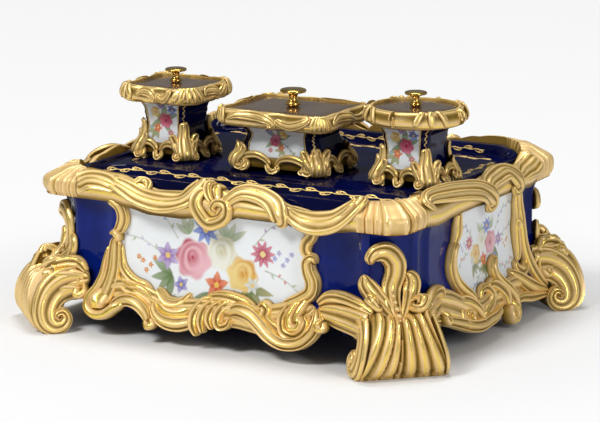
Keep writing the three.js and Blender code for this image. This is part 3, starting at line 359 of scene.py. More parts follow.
def settle(bm, name, finish):
    """Ends a mesh as a smooth object with its faces outwards and its corners crisp."""
    for vert in bm.verts:
        vert.co.z = max(vert.co.z, 0.0)
    bmesh.ops.recalc_face_normals(bm, faces=bm.faces)
    for face in bm.faces:
        face.smooth = True
    for edge in bm.edges:
        edge.smooth = len(edge.link_faces) == 2 and edge.calc_face_angle() < crease_angle
    data = bpy.data.meshes.new(name)
    bm.to_mesh(data)
    bm.free()
    data.materials.append(finish)
    piece = bpy.data.objects.new(name, data)
    bpy.context.scene.collection.objects.link(piece)
    return piece


def stand_rows():
    """The stand's section, row by row: from under the tray, down inside, up the wall and over the tray."""
    rows = [lambda s: (0.0, 0.0, underside)]
    deck = -(block_inset + wall_thickness)
    soft_edge = 0.0006

    def flat(offset, z, relief=0.0):
        return lambda s: (*wall_plan(s, ledge_height, offset, relief), z)

    def wall(offset, share, top=ledge_height):
        def row(s):
            foot = apron(*wall_plan(s, skirt_height, offset))
            z = blend(foot, top, share)
            return (*wall_plan(s, z, offset), z)
        return row

    rows.append(flat(deck, underside))
    rows.append(flat(deck, 0.091))
    for i in range(9):
        rows.append(wall(-wall_thickness, 1 - i / 8, shoulder_height))
    rows.append(lambda s: (
        *wall_plan(s, skirt_height, -wall_thickness / 2), apron(*wall_plan(s, skirt_height, 0)) - 0.001))
    for i in range(37):
        rows.append(wall(0.0, i / 36))
    rows.append(flat(-0.001, ledge_height + 0.0004, 1.0))
    rows.append(flat(-block_inset, ledge_height + 0.0004))

    def coping(offset, drop):
        def row(s):
            x, y = wall_plan(s, ledge_height, -block_inset - offset, 0.0)
            return x, y, parapet(y) - drop
        return row

    rows.append(coping(0.0, soft_edge))
    rows.append(coping(soft_edge, 0.0))

    def recess(inset, height):
        def row(s):
            x, y = rounded_plan(
                s, recess_half - inset, recess_front + inset, recess_rear - inset, recess_radius - inset)
            return x, y, height(y)
        return row

    rows.append(recess(-soft_edge, parapet))
    rows.append(recess(0.0, lambda y: parapet(y) - soft_edge))
    rows.append(recess(0.0, lambda y: tray_floor + 0.0014))
    rows.append(recess(0.0004, lambda y: tray_floor + 0.0004))
    rows.append(recess(0.0014, lambda y: tray_floor))

    def trough(inset, z):
        return lambda s: (*trough_plan(s, inset), z)

    rows.append(trough(-0.0008, tray_floor))
    rows.append(trough(0.0, tray_floor - 0.0003))
    rows.append(trough(0.0005, tray_floor - 0.001))
    rows.append(trough(0.005, trough_floor + 0.0018))
    rows.append(trough(0.0065, trough_floor + 0.0005))
    rows.append(trough(0.009, trough_floor))
    rows.append(lambda s: (0.0, -0.083, trough_floor))
    return rows


def cobalt_glaze():
    """Deep cobalt that pools unevenly, with painted shade that darkens it from about the trough's floor up:
    over the tray, its parapet and the pots.
    """
    finish = Finish("cobalt_glaze")
    cloud = finish.spots(28.0)
    pooled = finish.spots(9.0, 1.0)
    place = finish.node("ShaderNodeTexCoord", output=3)
    level = finish.node("ShaderNodeSeparateXYZ", values={"Vector": place}, output=2)
    # Painted shade: a darkening by height, none on the walls, rising to its full depth on the tray's flat and
    # the pots above it.
    flat = finish.node("ShaderNodeMapRange", values={
        "Value": level, "From Min": 0.095, "From Max": 0.104, "To Min": 0.0, "To Max": 0.32})
    colour = finish.ramp(
        cloud * 0.5 + pooled * 0.5 - flat,
        (0.0, (0.001, 0.001, 0.012)), (0.3, (0.001, 0.003, 0.045)), (0.55, (0.002, 0.010, 0.13)),
        (0.75, (0.004, 0.022, 0.25)),
    )
    wave = finish.spots(60.0, 2.0)
    values = {"Base Color": colour, "Roughness": 0.06 + 0.06 * cloud, "IOR": 1.28}
    values["Normal"] = finish.bumped(wave, 0.0005)
    return finish.surface(values)


cobalt = cobalt_glaze()
rows = stand_rows()
stand_mesh = moulding()
skin(stand_mesh, 576, len(rows) - 1, lambda s, t: (Vector(rows[round(t * (len(rows) - 1))](s)), 0.0))
stand = settle(stand_mesh, "stand_shell", cobalt)
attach(stand, "stand")
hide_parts("stand_body")

# Gilt rim: pressed apart and luted round the tray's edge. Fluted scrolls overlap along its four sides,
# and it is folded like a shell over each corner.
rim_top = 0.117
rim_lip = 0.097
crest_fall = 0.013
lip_fall = 0.009
rear_rise = 0.006
rim_overhang = 0.008
parapet_inset = 0.0097
rim_corner_radius = 0.015
rim_seat = ledge_height + 0.0003
flute_depth = 0.0013
rim_band_width = 0.018
fold_depth = 0.0016
fold_reach = 0.88
# Along each side: the share of its length, how far the crest falls there and how far the lip hangs.
front_rim_shares = [
    (0, 0, 0), (0.12, 0.12, 0), (0.19, 0.38, 0.33), (0.27, 0.77, 0.67), (0.38, 0.65, 0.67), (0.45, 0, 0.44),
    (0.49, 0.04, 1), (0.53, 0.42, 0.56), (0.6, 0.12, 0), (0.68, 0.31, 0), (0.75, 0.77, 0.11),
    (0.84, 0.96, 0.33), (0.93, 0.69, 0.22), (1, 0, 0),
]
side_rim_shares = [
    (0, -0.08, 0), (0.12, 0, 0.22), (0.25, -0.08, 0), (0.42, 0.15, 0), (0.55, 0.46, 0.11), (0.62, 0.38, 0),
    (0.7, -0.08, 0), (0.83, 0.15, 0), (0.93, 0.54, 0.22), (1, 0, 0),
]
rim_section_shares = [(0.14, 0), (0.42, 0.04), (0.68, 0.2), (0.96, 0.42), (1, 0.75), (0.9, 1)]
fold_shares = [0.0, 0.11, 0.21, 0.31, 0.66, 0.77, 0.88, 1.0]
front_steps = 150
corner_steps = 56
side_steps = 120
rim_steps = front_steps + side_steps + 2 * corner_steps


def table_at(table, share):
    """The values of a table at a share, eased from one row to the next."""
    i = 0
    while i < len(table) - 2 and share > table[i + 1][0]:
        i += 1
    start, *before = table[i]
    end, *after = table[i + 1]
    t = ease((share - start) / (end - start))
    return [blend(a, b, t) for a, b in zip(before, after)]


def rim_station(step):
    """Half of the rim in steps: inner place, outer place, crest height, lip height, reach and drift."""
    inner_x = half_length - parapet_inset
    inner_y = half_depth - parapet_inset
    inner_sum = half_length + half_depth - corner_cant - parapet_inset * math.sqrt(2)
    outer_x = half_length + rim_overhang
    outer_y = half_depth + rim_overhang
    side_x = inner_sum - inner_y
    side_y = inner_sum - inner_x
    if step <= front_steps:
        share = step / front_steps
        fall, drop = table_at(front_rim_shares, share)
        x = blend(-side_x, side_x, share)
        return x, -inner_y, x, -outer_y, rim_top - crest_fall * fall, rim_lip - lip_fall * drop, 1.0, fall
    step -= front_steps
    if step <= corner_steps:
        return rim_corner(step / corner_steps, side_x, inner_x, -inner_y, -side_y, outer_x, -outer_y)
    step -= corner_steps
    if step <= side_steps:
        share = step / side_steps
        fall, drop = table_at(side_rim_shares, share)
        y = blend(-side_y, side_y, share)
        return inner_x, y, outer_x, y, rim_top - crest_fall * fall, rim_lip - lip_fall * drop, 1.0, fall
    step -= side_steps
    x, y, far_x, far_y, *rest = rim_corner(
        1 - step / corner_steps, side_x, inner_x, -inner_y, -side_y, outer_x, -outer_y)
    return (x, -y, far_x, -far_y, *rest)


def rim_corner(share, side_x, inner_x, front_y, side_y, outer_x, outer_y):
    """The rim over a corner: a broad panel between narrow folds, round on the outside."""
    x = blend(side_x, inner_x, share)
    y = blend(front_y, side_y, share)
    straight = outer_x - rim_corner_radius - side_x
    arc = rim_corner_radius * math.pi / 2
    along = share * (2 * straight + arc)
    if along < straight:
        far_x, far_y = side_x + along, outer_y
    elif along > straight + arc:
        far_x, far_y = outer_x, side_y - (2 * straight + arc - along)
    else:
        angle = (along - straight) / rim_corner_radius
        far_x = outer_x - rim_corner_radius * (1 - math.sin(angle))
        far_y = outer_y + rim_corner_radius * (1 - math.cos(angle))
    i = 0
    while i < len(fold_shares) - 2 and share > fold_shares[i + 1]:
        i += 1
    swell = math.sin(math.pi * clamp((share - fold_shares[i]) / (fold_shares[i + 1] - fold_shares[i])))
    fold = min(1.0, 1.6 * swell ** 0.7) * (1 - 0.45 * ease((swell - 0.45) * 2.2))
    return x, y, far_x, far_y, rim_top - fold_depth * (1 - fold), rim_lip, blend(fold_reach, 1, fold), 0.0


def spline(points, t):
    """A place on the smooth run through points, for t from 0 to 1."""
    last = len(points) - 1
    x = clamp(t) * last
    i = min(int(x), last - 1)
    f = x - i
    a = points[max(i - 1, 0)]
    b = points[i]
    c = points[i + 1]
    d = points[min(i + 2, last)]
    return b + ((c - a) + ((2 * a - 5 * b + 4 * c - d) + (3 * (b - c) + d - a) * f) * f) * f * 0.5


rim_section = [Vector(pair) for pair in rim_section_shares]
visible_share = 0.76


def rim_place(s, t):
    """A place on the rim: s from its crest down to its lip and back beneath, t round the tray."""
    turned = t > 0.5
    step = (t * 2 - (1 if turned else 0)) * rim_steps
    ix, iy, ox, oy, top, lip, reach, drift = rim_station(step)
    if turned:
        ix, iy, ox, oy = -ix, -iy, -ox, -oy
    top += rear_rise * ease((oy - half_depth / 2) / (half_depth / 2))
    corner = reach < 1.0 or abs(abs(ix) - abs(ox)) > 1e-5 and abs(abs(iy) - abs(oy)) > 1e-5
    if s <= visible_share:
        w = s / visible_share
        out, drop = spline(rim_section, w)
        flutes = 0.5 - 0.5 * math.cos(2 * math.pi * 2 * (w + 0.1 * drift))
        edge = ease(min(w, 1 - w) / 0.12)
        depth = 0.0 if corner else flute_depth * edge
        sink = depth * (1 - flutes ** 0.7)
        # Over the corners the crest value falls in the folds' creases, where the gilding paints shade.
        value = flutes if not corner else clamp((reach - fold_reach) / (1 - fold_reach))
        out = out * blend(1, reach, ease(w * 2)) - sink / rim_band_width
        height = blend(top, lip, drop) - sink * (1 - ease(drop * 2)) * 0.8
        return Vector((blend(ix, ox, out), blend(iy, oy, out), height)), value
    back_share = (s - visible_share) / (1 - visible_share)
    lip_out = 0.75
    if back_share < 0.25:
        out = blend(0.9, lip_out, back_share * 4)
        z = lip
    elif back_share < 0.5:
        out = lip_out
        z = blend(lip, rim_seat, (back_share - 0.25) * 4)
    elif back_share < 0.75:
        out = blend(lip_out, 0, (back_share - 0.5) * 4)
        z = rim_seat
    else:
        share = (back_share - 0.75) * 4
        out = 0.14 * ease(share) ** 4
        z = blend(rim_seat, top, share)
    return Vector((blend(ix, ox, out), blend(iy, oy, out), z)), 0.0


def gilding():
    """Matt honey-beige gilding, burnished along the ridges, with a painted highlight of bright yellow gold
    there and painted shade in brown in the grooves.
    """
    finish = Finish("gilding")
    crest = finish.node("ShaderNodeAttribute", {"attribute_name": "crest"}, output=2)
    rubbed = finish.spots(75.0)
    speckle = finish.spots(900.0, 2.0)
    # Painted shade and painted highlight: the colour runs from brown where the crest value is low, in the
    # grooves and on hidden backs, to bright yellow gold on the ridges; the rubbed noise varies it at random.
    colour = finish.ramp(
        crest * crest * 0.40 + crest * 0.42 + rubbed * 0.20 + speckle * 0.06,
        (0.15, (0.20, 0.115, 0.012)), (0.36, (0.58, 0.38, 0.09)), (0.60, (0.86, 0.60, 0.28)),
        (0.80, (0.89, 0.63, 0.29)), (0.95, (0.93, 0.66, 0.13)),
    )
    burnish = finish.node("ShaderNodeMapRange", values={
        "Value": crest * crest * crest + rubbed * 0.30, "From Min": 0.55, "From Max": 1.16,
        "To Min": 0.22, "To Max": 0.86})
    grain = finish.bumped(rubbed * 0.7 + speckle * 0.3, 0.00025)
    values = {"Base Color": colour, "Metallic": burnish, "Roughness": 0.48 - 0.26 * burnish, "Normal": grain}
    return finish.surface(values)


gilt = gilding()
rim_mesh = moulding()
skin(rim_mesh, 46, rim_steps * 2, rim_place)


def ribbon(bm, places, widths, heights, flutes=3, steps=64, across=26, tips=(0.1, 0.1)):
    """One fluted scroll along a run of (point, outward) pairs, with round tips and a flat back."""
    points = [Vector(point) for point, _ in places]
    outwards = [Vector(outward).normalized() for _, outward in places]
    top_share = 0.8
    stations = []
    for i in range(steps + 1):
        t = i / steps
        ahead = spline(points, t + 0.004) - spline(points, t - 0.004)
        outward = spline(outwards, t).normalized()
        side = ahead.cross(outward).normalized()
        tip = math.sqrt(1 - (1 - clamp(t / tips[0])) ** 2) * math.sqrt(1 - (1 - clamp((1 - t) / tips[1])) ** 2)
        half = spline(widths, t) / 2 * tip
        stations.append((spline(points, t), side, outward, half, spline(heights, t) * tip))

    def place(s, t):
        middle, side, outward, half, high = stations[round(t * steps)]
        if s > top_share:
            across_share = 1 - 2 * (s - top_share) / (1 - top_share)
            return middle + side * half * across_share - outward * high * 0.1, 0.0
        across_share = math.sin(math.pi * (s / top_share - 0.5))
        ridge = (0.5 - 0.5 * math.cos(2 * math.pi * flutes * s / top_share)) ** 0.6
        dome = (1 - abs(across_share) ** 4) ** 0.5
        rise = dome * (0.66 + 0.34 * ridge)
        return middle + side * half * across_share + outward * high * rise, ridge

    skin(bm, across, steps, place)


def hosted(host, places):
    """Places on a surface as pairs of a point and the way out of the surface there."""
    pairs = []
    for u, v in places:
        here = host(u, v, 0.0)
        pairs.append((here, host(u, v, 0.01) - here))
    return pairs


rim_face_length = 0.034
widest_share = 0.8


def rim_face(side, turn):
    """The rim's outer surface along one side: u along it, v as a share from its crest down to its lip."""
    half = half_depth if side == "front" else half_length
    other_half = half_length if side == "front" else half_depth
    span = other_half - corner_cant - parapet_inset * (math.sqrt(2) - 1)
    table = front_rim_shares if side == "front" else side_rim_shares
    inner = half - parapet_inset
    outer = half + rim_overhang

    def host(u, v, out):
        fall, drop_share = table_at(table, clamp((u / span + 1) / 2))
        y = turn * (-outer if side == "front" else u)
        top = rim_top - crest_fall * fall + rear_rise * ease((y - half_depth / 2) / (half_depth / 2))
        lip = rim_lip - lip_fall * drop_share
        w = min(clamp(v), widest_share)
        share, drop = spline(rim_section, w)
        ahead = spline(rim_section, w + 0.03) - spline(rim_section, w - 0.03)
        run = Vector((ahead.x * (outer - inner), -ahead.y * (top - lip))).normalized()
        away = blend(inner, outer, share) - run.y * out
        z = blend(top, lip, drop) + run.x * out - rim_face_length * max(0.0, v - widest_share)
        x, y = (u, -away) if side == "front" else (away, u)
        return Vector((turn * x, turn * y, z))

    return lambda u, v, out: host(u, v / rim_face_length, out)


# Each scroll has its places, in millimetres along the side and as a share down from the crest, then
# its widths and its heights in millimetres, and its number of flutes.
front_rim_scrolls = [
    ([(-98, 0.4), (-80, 0.45), (-60, 0.55), (-42, 0.58), (-27, 0.52), (-18, 0.36), (-14, 0.14), (-18, 0.04),
      (-23, 0.1), (-22, 0.22)],
     [8, 14.5, 17, 17, 15.5, 11, 7, 4], [1, 2, 3, 3.5, 3.5, 3], 3),
    ([(-7, 0.34), (-12, 0.5), (-13.4, 0.66), (-10.5, 0.82), (-3, 0.92), (5.5, 0.92), (12, 0.82),
      (13.2, 0.67), (9.5, 0.56), (3, 0.56), (0.5, 0.66), (4, 0.72)],
     [8, 10, 10.5, 10, 9, 8, 6.5, 5, 4], [3, 4.5, 5, 5, 4.5, 4], 2),
    ([(-5, 0.05), (-8, 0.24), (-6, 0.44), (0, 0.58)],
     [4, 6.5, 6.5, 4], [2, 3.8, 4.2, 3], 2),
    ([(3, 0.04), (0, 0.22), (2, 0.42), (6, 0.54)],
     [3, 5.5, 5.5, 3], [2, 3.4, 3.8, 3], 1),
    ([(3, 0.78), (10, 0.5), (20, 0.32), (33, 0.27), (46, 0.4), (54, 0.62), (56, 0.8), (52, 0.86)],
     [6, 12, 15.5, 16, 14.5, 11, 7], [2, 4, 4.5, 4.5, 4, 3], 3),
    ([(57, 0.28), (66, 0.54), (80, 0.62), (96, 0.6), (107, 0.42), (112, 0.2), (107, 0.12), (103, 0.26)],
     [8, 15.5, 18.5, 17.5, 12.5, 9, 5], [1, 3.5, 4, 4.5, 4, 3], 3),
    ([(98, 0.5), (103, 0.36), (108, 0.3), (110, 0.42), (104, 0.54), (98, 0.56)],
     [2, 3, 3, 3, 2], [4, 6, 6, 4], 1),
    ([(-70, 0.3), (-68, 0.1), (-64, 0.02), (-60, 0.12), (-58, 0.36)],
     [3, 5.5, 6.5, 6, 3], [2, 3.5, 3.5, 2], 2),
    ([(-113, 0.62), (-104, 0.5), (-92, 0.48), (-80, 0.56)],
     [16, 20, 18, 10], [1, 2.2, 2, 1], 3),
]
side_rim_scrolls = [
    ([(-76, 0.62), (-83, 0.46), (-74, 0.32), (-52, 0.4), (-28, 0.48), (-9, 0.57), (6, 0.74), (10, 0.9),
      (4, 0.96), (0, 0.86)],
     [5, 8.5, 13.5, 18, 20, 19, 14, 9, 6], [2, 4, 4.5, 4, 4.5, 4, 3], 4),
    ([(8, 0.6), (14, 0.44), (25, 0.38), (38, 0.46), (49, 0.64), (53, 0.84), (47, 0.92), (43, 0.8)],
     [7, 13.5, 16, 15.5, 12, 8, 5], [2, 4.2, 4.5, 4.5, 4, 3], 3),
    ([(56, 0.62), (68, 0.5), (80, 0.45), (90, 0.48)],
     [8, 16, 18.5, 16], [1, 3.5, 3.5, 2], 3),
]


def metres(millimetres):
    return [value / 1000 for value in millimetres]


def rim_scrolls(bm, turn):
    """The scrolls that overlap along the front and one side of the rim, or along the other two."""
    for side, scrolls in (("front", front_rim_scrolls), ("side", side_rim_scrolls)):
        host = rim_face(side, turn)
        for places, widths, heights, flutes in scrolls:
            run = [(u / 1000, v * rim_face_length) for u, v in places]
            ribbon(bm, hosted(host, run), metres(widths), metres(heights), flutes, 84, 28)


rim_scrolls(rim_mesh, 1)
rim_scrolls(rim_mesh, -1)
rim = settle(rim_mesh, "gilt_rim", gilt)
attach(rim, "stand")
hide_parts("gallery_rim")


# Frames: rocaille scrolls luted round each painted reserve, modelled as separate C-scrolls and
# S-scrolls that grow out of one another and curl at their tips.
def front_face(u, v, out):
    return Vector((u, -(half_depth + side_flare(v) + out), v))


def right_face(u, v, out):
    return Vector((half_length + side_flare(v) + out, u, v))


def turned(host):
    """The same surface on the side across from it."""
    def there(u, v, out):
        place = host(u, v, out)
        return Vector((-place.x, -place.y, place.z))
    return there


def curl(u, v, radius, start, turns, end_share=0.3, count=9):
    """Points of a spiral that winds in from radius to its end share; turns are signed."""
    points = []
    for i in range(count):
        t = i / (count - 1)
        angle = math.radians(start) + turns * 2 * math.pi * t
        reach = radius * blend(1, end_share, t)
        points.append((u + reach * math.cos(angle), v + reach * math.sin(angle)))
    return points


# Each scroll has its places along and up the wall, its widths and its heights, all in millimetres, and
# its number of flutes.
front_scrolls = [
    ([(-93, 25), (-80, 33.5), (-62, 31.8), (-45, 26.5), (-30, 24), (-12, 26.2), (5, 27), (20, 27.2),
      (38, 26.2), (56, 28.5), (70, 33), (80, 40)],
     [14, 18, 18, 19, 19, 19, 19, 20, 24, 24, 12], [3, 4.2, 4.5, 4.5, 4.5, 4.5, 4, 3], 4),
    ([(-88.5, 32), (-92.5, 26.2), (-93, 20)],
     [10, 16, 12], [6, 11, 8], 1),
    ([(-47, 31.8), (-42, 27.2), (-35, 23.8), (-27, 23.5), (-20.5, 26.2), (-16.5, 31)],
     [5, 8, 9, 8.5, 5], [4, 6.5, 6.5, 4], 1),
    ([(-89, 99), (-79.5, 94), (-77.2, 86), (-80, 78), (-85, 73.5)],
     [7, 9.5, 10.5, 9, 6], [4, 6, 4.5], 3),
    ([(-88, 73), (-83.5, 74.5), (-80.5, 71), (-84, 68)],
     [3, 6, 6, 3], [5, 8, 6], 1),
    ([(-84.5, 71), (-85, 58), (-85.2, 48), (-86.8, 39), (-89.5, 31), (-93, 24)],
     [8, 12, 13, 14, 15.5, 15], [4, 5.5, 6, 6, 7, 8], 3),
    ([(-90.5, 64), (-92.5, 53), (-93.5, 44), (-97, 34.5), (-102, 27), (-101.5, 19.5), (-94.5, 15.5),
      (-86.3, 16.5), (-79.7, 21.5), (-72.5, 26.2)],
     [3, 4.5, 6, 7.5, 8, 8.5, 8], [4, 6, 7, 8, 9, 9, 8], 1),
    ([(-84, 20.5), (-76, 26.2), (-68, 28.3), (-60, 26.2), (-53.5, 21.2), (-50.5, 15.5)],
     [6, 10, 11.5, 11.5, 10, 6], [5, 8, 8, 6], 3),
    ([(-53, 16.5), (-49, 12.5), (-45, 15), (-48, 18.5)],
     [3, 6, 6, 3], [6, 9, 7], 1),
    ([(-80, 42.5), (-74.5, 37.8), (-68, 35.5), (-61, 35.5), (-54, 32.5), (-47.5, 27.5)],
     [5, 9, 10.5, 10, 7], [4, 7, 6.5, 5], 2),
    ([(-79.5, 66), (-78.7, 55.5), (-76.7, 49.2), (-71.4, 44), (-64.7, 40.8), (-56.7, 38.8), (-49.9, 34.5)],
     [3, 5.5, 7, 7.5, 7, 6.5, 4], [3, 4.5, 5, 5, 4], 2),
    ([(-47, 38.5), (-43.2, 34.5), (-37.5, 30), (-30, 29.2), (-23.5, 32), (-19.2, 37.8)],
     [5, 9.5, 10.5, 10, 8, 5], [6, 8, 7, 4], 3),
    ([(-49.2, 29), (-45.5, 23), (-37.5, 18.2), (-27.5, 16.8), (-19, 18.2), (-12.5, 21)],
     [6, 10, 12.5, 12, 9], [5, 9, 9, 6], 3),
    ([(1, 37.5), (-7.9, 33.5), (-12.8, 25), (-11.8, 17), (-8.2, 10.5)],
     [4, 7.5, 9, 8, 4], [4, 7, 9, 6], 2),
    ([(3, 37.2), (-4.5, 30), (-6.2, 21.5), (-3.5, 13)],
     [4, 7, 7.5, 4], [5, 8, 9, 6], 2),
    ([(9.5, 37.2), (1.5, 30.5), (0, 23), (3.5, 16.5)],
     [4, 7, 7.5, 4], [5, 8, 9, 6], 2),
    ([(18, 36.8), (9.5, 32.5), (6.2, 25), (9.5, 19.5), (15, 21.2), (16, 26)],
     [5, 8, 8.5, 7, 5.5, 4], [5, 8, 9, 8, 7], 2),
    ([(-6, 37.2), (6, 39.5), (18, 38.5), (29, 35.5), (37.2, 31.2)],
     [4, 8, 9, 8, 4], [4, 6.5, 6, 4], 2),
    ([(13, 27), (20.5, 31.5), (31, 30), (41, 24), (50.3, 18), (61.5, 14.5), (73.5, 16.2), (82, 23.2),
      (84.6, 31.7), (81.8, 39.5)],
     [6, 12.5, 14.5, 14.5, 12.5, 11, 10.5, 10, 9.5, 7], [6, 8.5, 9, 10, 10, 9, 6], 3),
    ([(38.5, 34.5), (41, 37.5), (44.7, 35), (44, 30.5), (49, 25.8), (56, 22.5), (62, 21.5)],
     [4, 7.5, 9.5, 10, 9.5, 8, 4], [6, 9, 8, 7, 6], 2),
    ([(65.5, 45), (60, 37.5), (57.5, 30), (60.5, 22.8), (69, 20.5), (75.5, 24.5), (76.8, 31), (73.5, 35)],
     [4, 6.5, 7.8, 8, 7.5, 6.5, 4], [5, 8.5, 9.5, 9.5, 8], 2),
    ([(70, 45), (65.8, 38.5), (64, 31.5), (66.8, 26.2), (72.2, 26.8), (73, 31.5), (69.5, 32.5)],
     [4, 6.2, 6.8, 6.4, 5.8, 4], [6, 9.5, 10.5, 11, 11], 1),
    ([(75, 45.5), (72.2, 40), (70.2, 35), (69.5, 30.5)],
     [4, 6.2, 6, 4], [5, 9, 10], 1),
    ([(80, 70), (77.5, 73.5), (73.8, 70.5), (74.5, 64), (77.5, 57), (76.5, 50), (69, 44.7), (60, 40.7),
      (53, 37.2)],
     [4, 8, 10, 11, 12, 11.5, 10, 7.8, 4], [5, 7, 7, 7, 6, 4], 3),
    ([(76, 73), (71.5, 78), (72.5, 84.5), (77, 90), (79, 97)],
     [6, 9, 9, 8], [4, 6, 5], 2),
]
side_scrolls = [
    ([(-42, 30), (-25, 24), (-10, 21.5), (8, 23.5), (26, 23.5), (42, 26.2), (60, 23.5), (80, 19)],
     [14, 20, 18, 19, 19, 19, 17, 10], [3, 4.2, 4.5, 4.5, 4, 3], 4),
    ([(-90, 40.5), (-74, 40), (-58, 35.2), (-42, 28.5), (-28, 22.2), (-15, 19)],
     [12, 21.5, 24.5, 22.5, 17.5, 8], [3, 6.2, 7, 6, 4], 4),
    ([(-35, 97), (-33.8, 88.5), (-35, 80), (-39, 73.5)],
     [8, 10, 9.5, 6], [4, 6, 4], 2),
    ([(-32.5, 71.5), (-37, 74), (-41.2, 70), (-43, 59), (-38.5, 48), (-30, 40.5), (-21.5, 35), (-15, 29)],
     [4, 7.5, 9.5, 11, 11, 10.5, 9, 6], [5, 7, 7, 7, 6], 3),
    ([(-58, 33), (-45, 35.2), (-33, 33), (-23, 27.2), (-17, 20.5), (-14.5, 14.5)],
     [5, 10, 12, 11, 8], [4, 8, 9, 7], 3),
    (curl(-35, 23.5, 8.5, 60, 1.3),
     [8, 7, 5, 4], [6, 8, 8], 2),
    ([(-80, 30), (-64, 26.5), (-48, 21.5), (-33, 16.5), (-20, 14.5), (-8, 15), (6, 16), (16, 20)],
     [6, 9, 10.5, 11, 10.5, 8], [6, 9, 8], 3),
    ([(-9, 28), (-4.5, 35), (3, 35.8), (7.5, 30), (2, 24.8), (-6, 21.2), (-12, 17.5)],
     [4, 6.5, 7.2, 8, 8.5, 6], [4, 7, 8, 6], 2),
    ([(27.5, 45.5), (24, 51), (19.5, 48.5), (20.3, 41), (26.5, 34), (34.5, 27), (38.5, 19.5), (38, 12)],
     [4, 8, 9.5, 9.5, 10.5, 11, 10, 6], [4, 6.5, 8, 9, 8], 3),
    ([(6, 35), (12.5, 37), (20.5, 32.5), (26.5, 25.5), (26.5, 18)],
     [5, 8, 9.5, 9, 5], [5, 8, 9, 7], 2),
    (curl(30, 12.5, 8, 80, -1.4),
     [7, 6.5, 5, 3], [8, 9, 9], 1),
    ([(58, 97), (60, 88), (60.5, 78), (59.8, 69), (61.5, 60), (62.5, 50), (60, 42.5)],
     [5, 6.8, 6.8, 7.2, 7.8, 7.2, 4], [4, 6, 6, 4], 2),
    ([(57.5, 72), (61, 73), (62, 68.5), (58.5, 67)],
     [3, 5.5, 5.5, 3], [5, 8, 6], 1),
    ([(64, 96), (66.5, 86), (68.2, 76), (70, 65), (71.5, 54), (74.5, 43), (80, 32.5), (88, 23.5),
      (97.5, 16.5)],
     [5, 7.5, 8, 8.5, 9, 10, 10.5, 9, 4], [4, 6, 7, 7, 5], 2),
    ([(56, 44.5), (57.5, 38.5), (64, 35.2), (70.5, 38.5), (73.5, 43)],
     [4, 8, 9, 7.5, 4], [4, 6, 6, 4], 2),
    ([(44, 38.5), (54, 32.2), (64, 25.5), (76, 20), (96, 15)],
     [6, 11.5, 13.5, 12, 4], [5, 8, 8, 5], 3),
    ([(38, 18), (49, 19.2), (62, 16.8), (76, 14.8), (93, 12.5)],
     [5, 8, 8.5, 7.5, 4], [6, 8, 7, 4], 2),
]


def scroll_frame(name, host, scrolls, node):
    bm = moulding()
    for places, widths, heights, flutes in scrolls:
        run = [metres(place) for place in places]
        ribbon(bm, hosted(host, run), metres(widths), metres(heights), flutes, 72, 24)
    piece = settle(bm, name, gilt)
    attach(piece, "stand")
    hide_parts(node)


scroll_frame("frame_front", front_face, front_scrolls, "scroll_frame_front")
scroll_frame("frame_back", turned(front_face), front_scrolls, "scroll_frame_back")
scroll_frame("frame_right", right_face, side_scrolls, "scroll_frame_right")
scroll_frame("frame_left", turned(right_face), side_scrolls, "scroll_frame_left")

# Feet: four consoles at the canted corners, pressed with fluted scrolls on both flanks that roll into
# an eye on the table, a fan of ridges down the front, and arms that run back along the wall.
pilaster_distance = (half_length + half_depth - corner_cant) / math.sqrt(2)
pilaster_shift = (half_length - half_depth) / math.sqrt(2)
foot_top_half = 0.018
foot_base_half = 0.0305
foot_neck_height = 0.049
foot_flute_depth = 0.0036
foot_outline = [Vector(metres(place)) for place in (
    (2.5, 51.5), (11, 52.3), (18, 51), (25, 47.5), (31.5, 42), (36.5, 34.5), (39.5, 26), (40.2, 17),
    (38.8, 9.5), (35.5, 3.8), (30, 0),
)]
foot_under = [metres(place) for place in (
    (22, 0), (14, 0), (10, 3), (8.8, 8), (11, 12.8), (16.5, 12.8), (9, 28),
)]


corners = {"front_right": (1, -1), "front_left": (-1, -1), "back_right": (1, 1), "back_left": (-1, 1)}
arm_starts = {1: (0.083, 0.063), -1: (0.105, 0.090)}


def hand(signs):
    """1 at the front right corner and at the one across from it, -1 at the two that mirror them."""
    return 1 if signs[0] * signs[1] < 0 else -1


def corner_place(signs, across, up, out):
    x = (pilaster_distance + out + pilaster_shift + across) / math.sqrt(2)
    y = (pilaster_distance + out - pilaster_shift - across) / math.sqrt(2)
    return Vector((signs[0] * x, signs[1] * y, up))


def corner_wall(signs):
    return lambda u, v, out: corner_place(signs, u, v, corner_flare(v) + out)


def foot_half(up):
    """Half the foot's width, which spreads towards the table."""
    return blend(foot_base_half, foot_top_half, ease(up / foot_neck_height))


def foot_front(signs):
    """The foot's front: u across it from -1 to 1, v down it from 0 to 1."""
    def host(u, v, out):
        place = spline(foot_outline, v)
        ahead = spline(foot_outline, v + 0.01) - spline(foot_outline, v - 0.01)
        normal = Vector((-ahead.y, ahead.x)).normalized()
        up = place.y + normal.y * out - foot_dip(u, v)
        return corner_place(signs, u * foot_half(place.y), up, place.x + normal.x * out)
    return host


def foot_dip(u, v):
    """How far the foot's top sinks between its two arms, where the sprig is rooted."""
    return 0.0105 * (1 - clamp(abs(u)) ** 2.5) * (1 - ease((v - 0.12) / 0.36))


def foot_ridge(u, v):
    """The ridges of the foot's front: one group falls to the left, one to the right, a tongue between."""
    left = -0.08 - 0.50 * v
    right = -0.02 - 0.16 * v
    if u < left:
        place = (left - u) * 2.6 + 0.25 * v
    elif u > right:
        place = (u - right) * 3.6 / (1 + 0.25 * v) - 0.45 * v
    else:
        place = 0.5 + abs((u - left) / (right - left) - 0.5)
    return (0.5 - 0.5 * math.cos(2 * math.pi * place)) ** 0.6


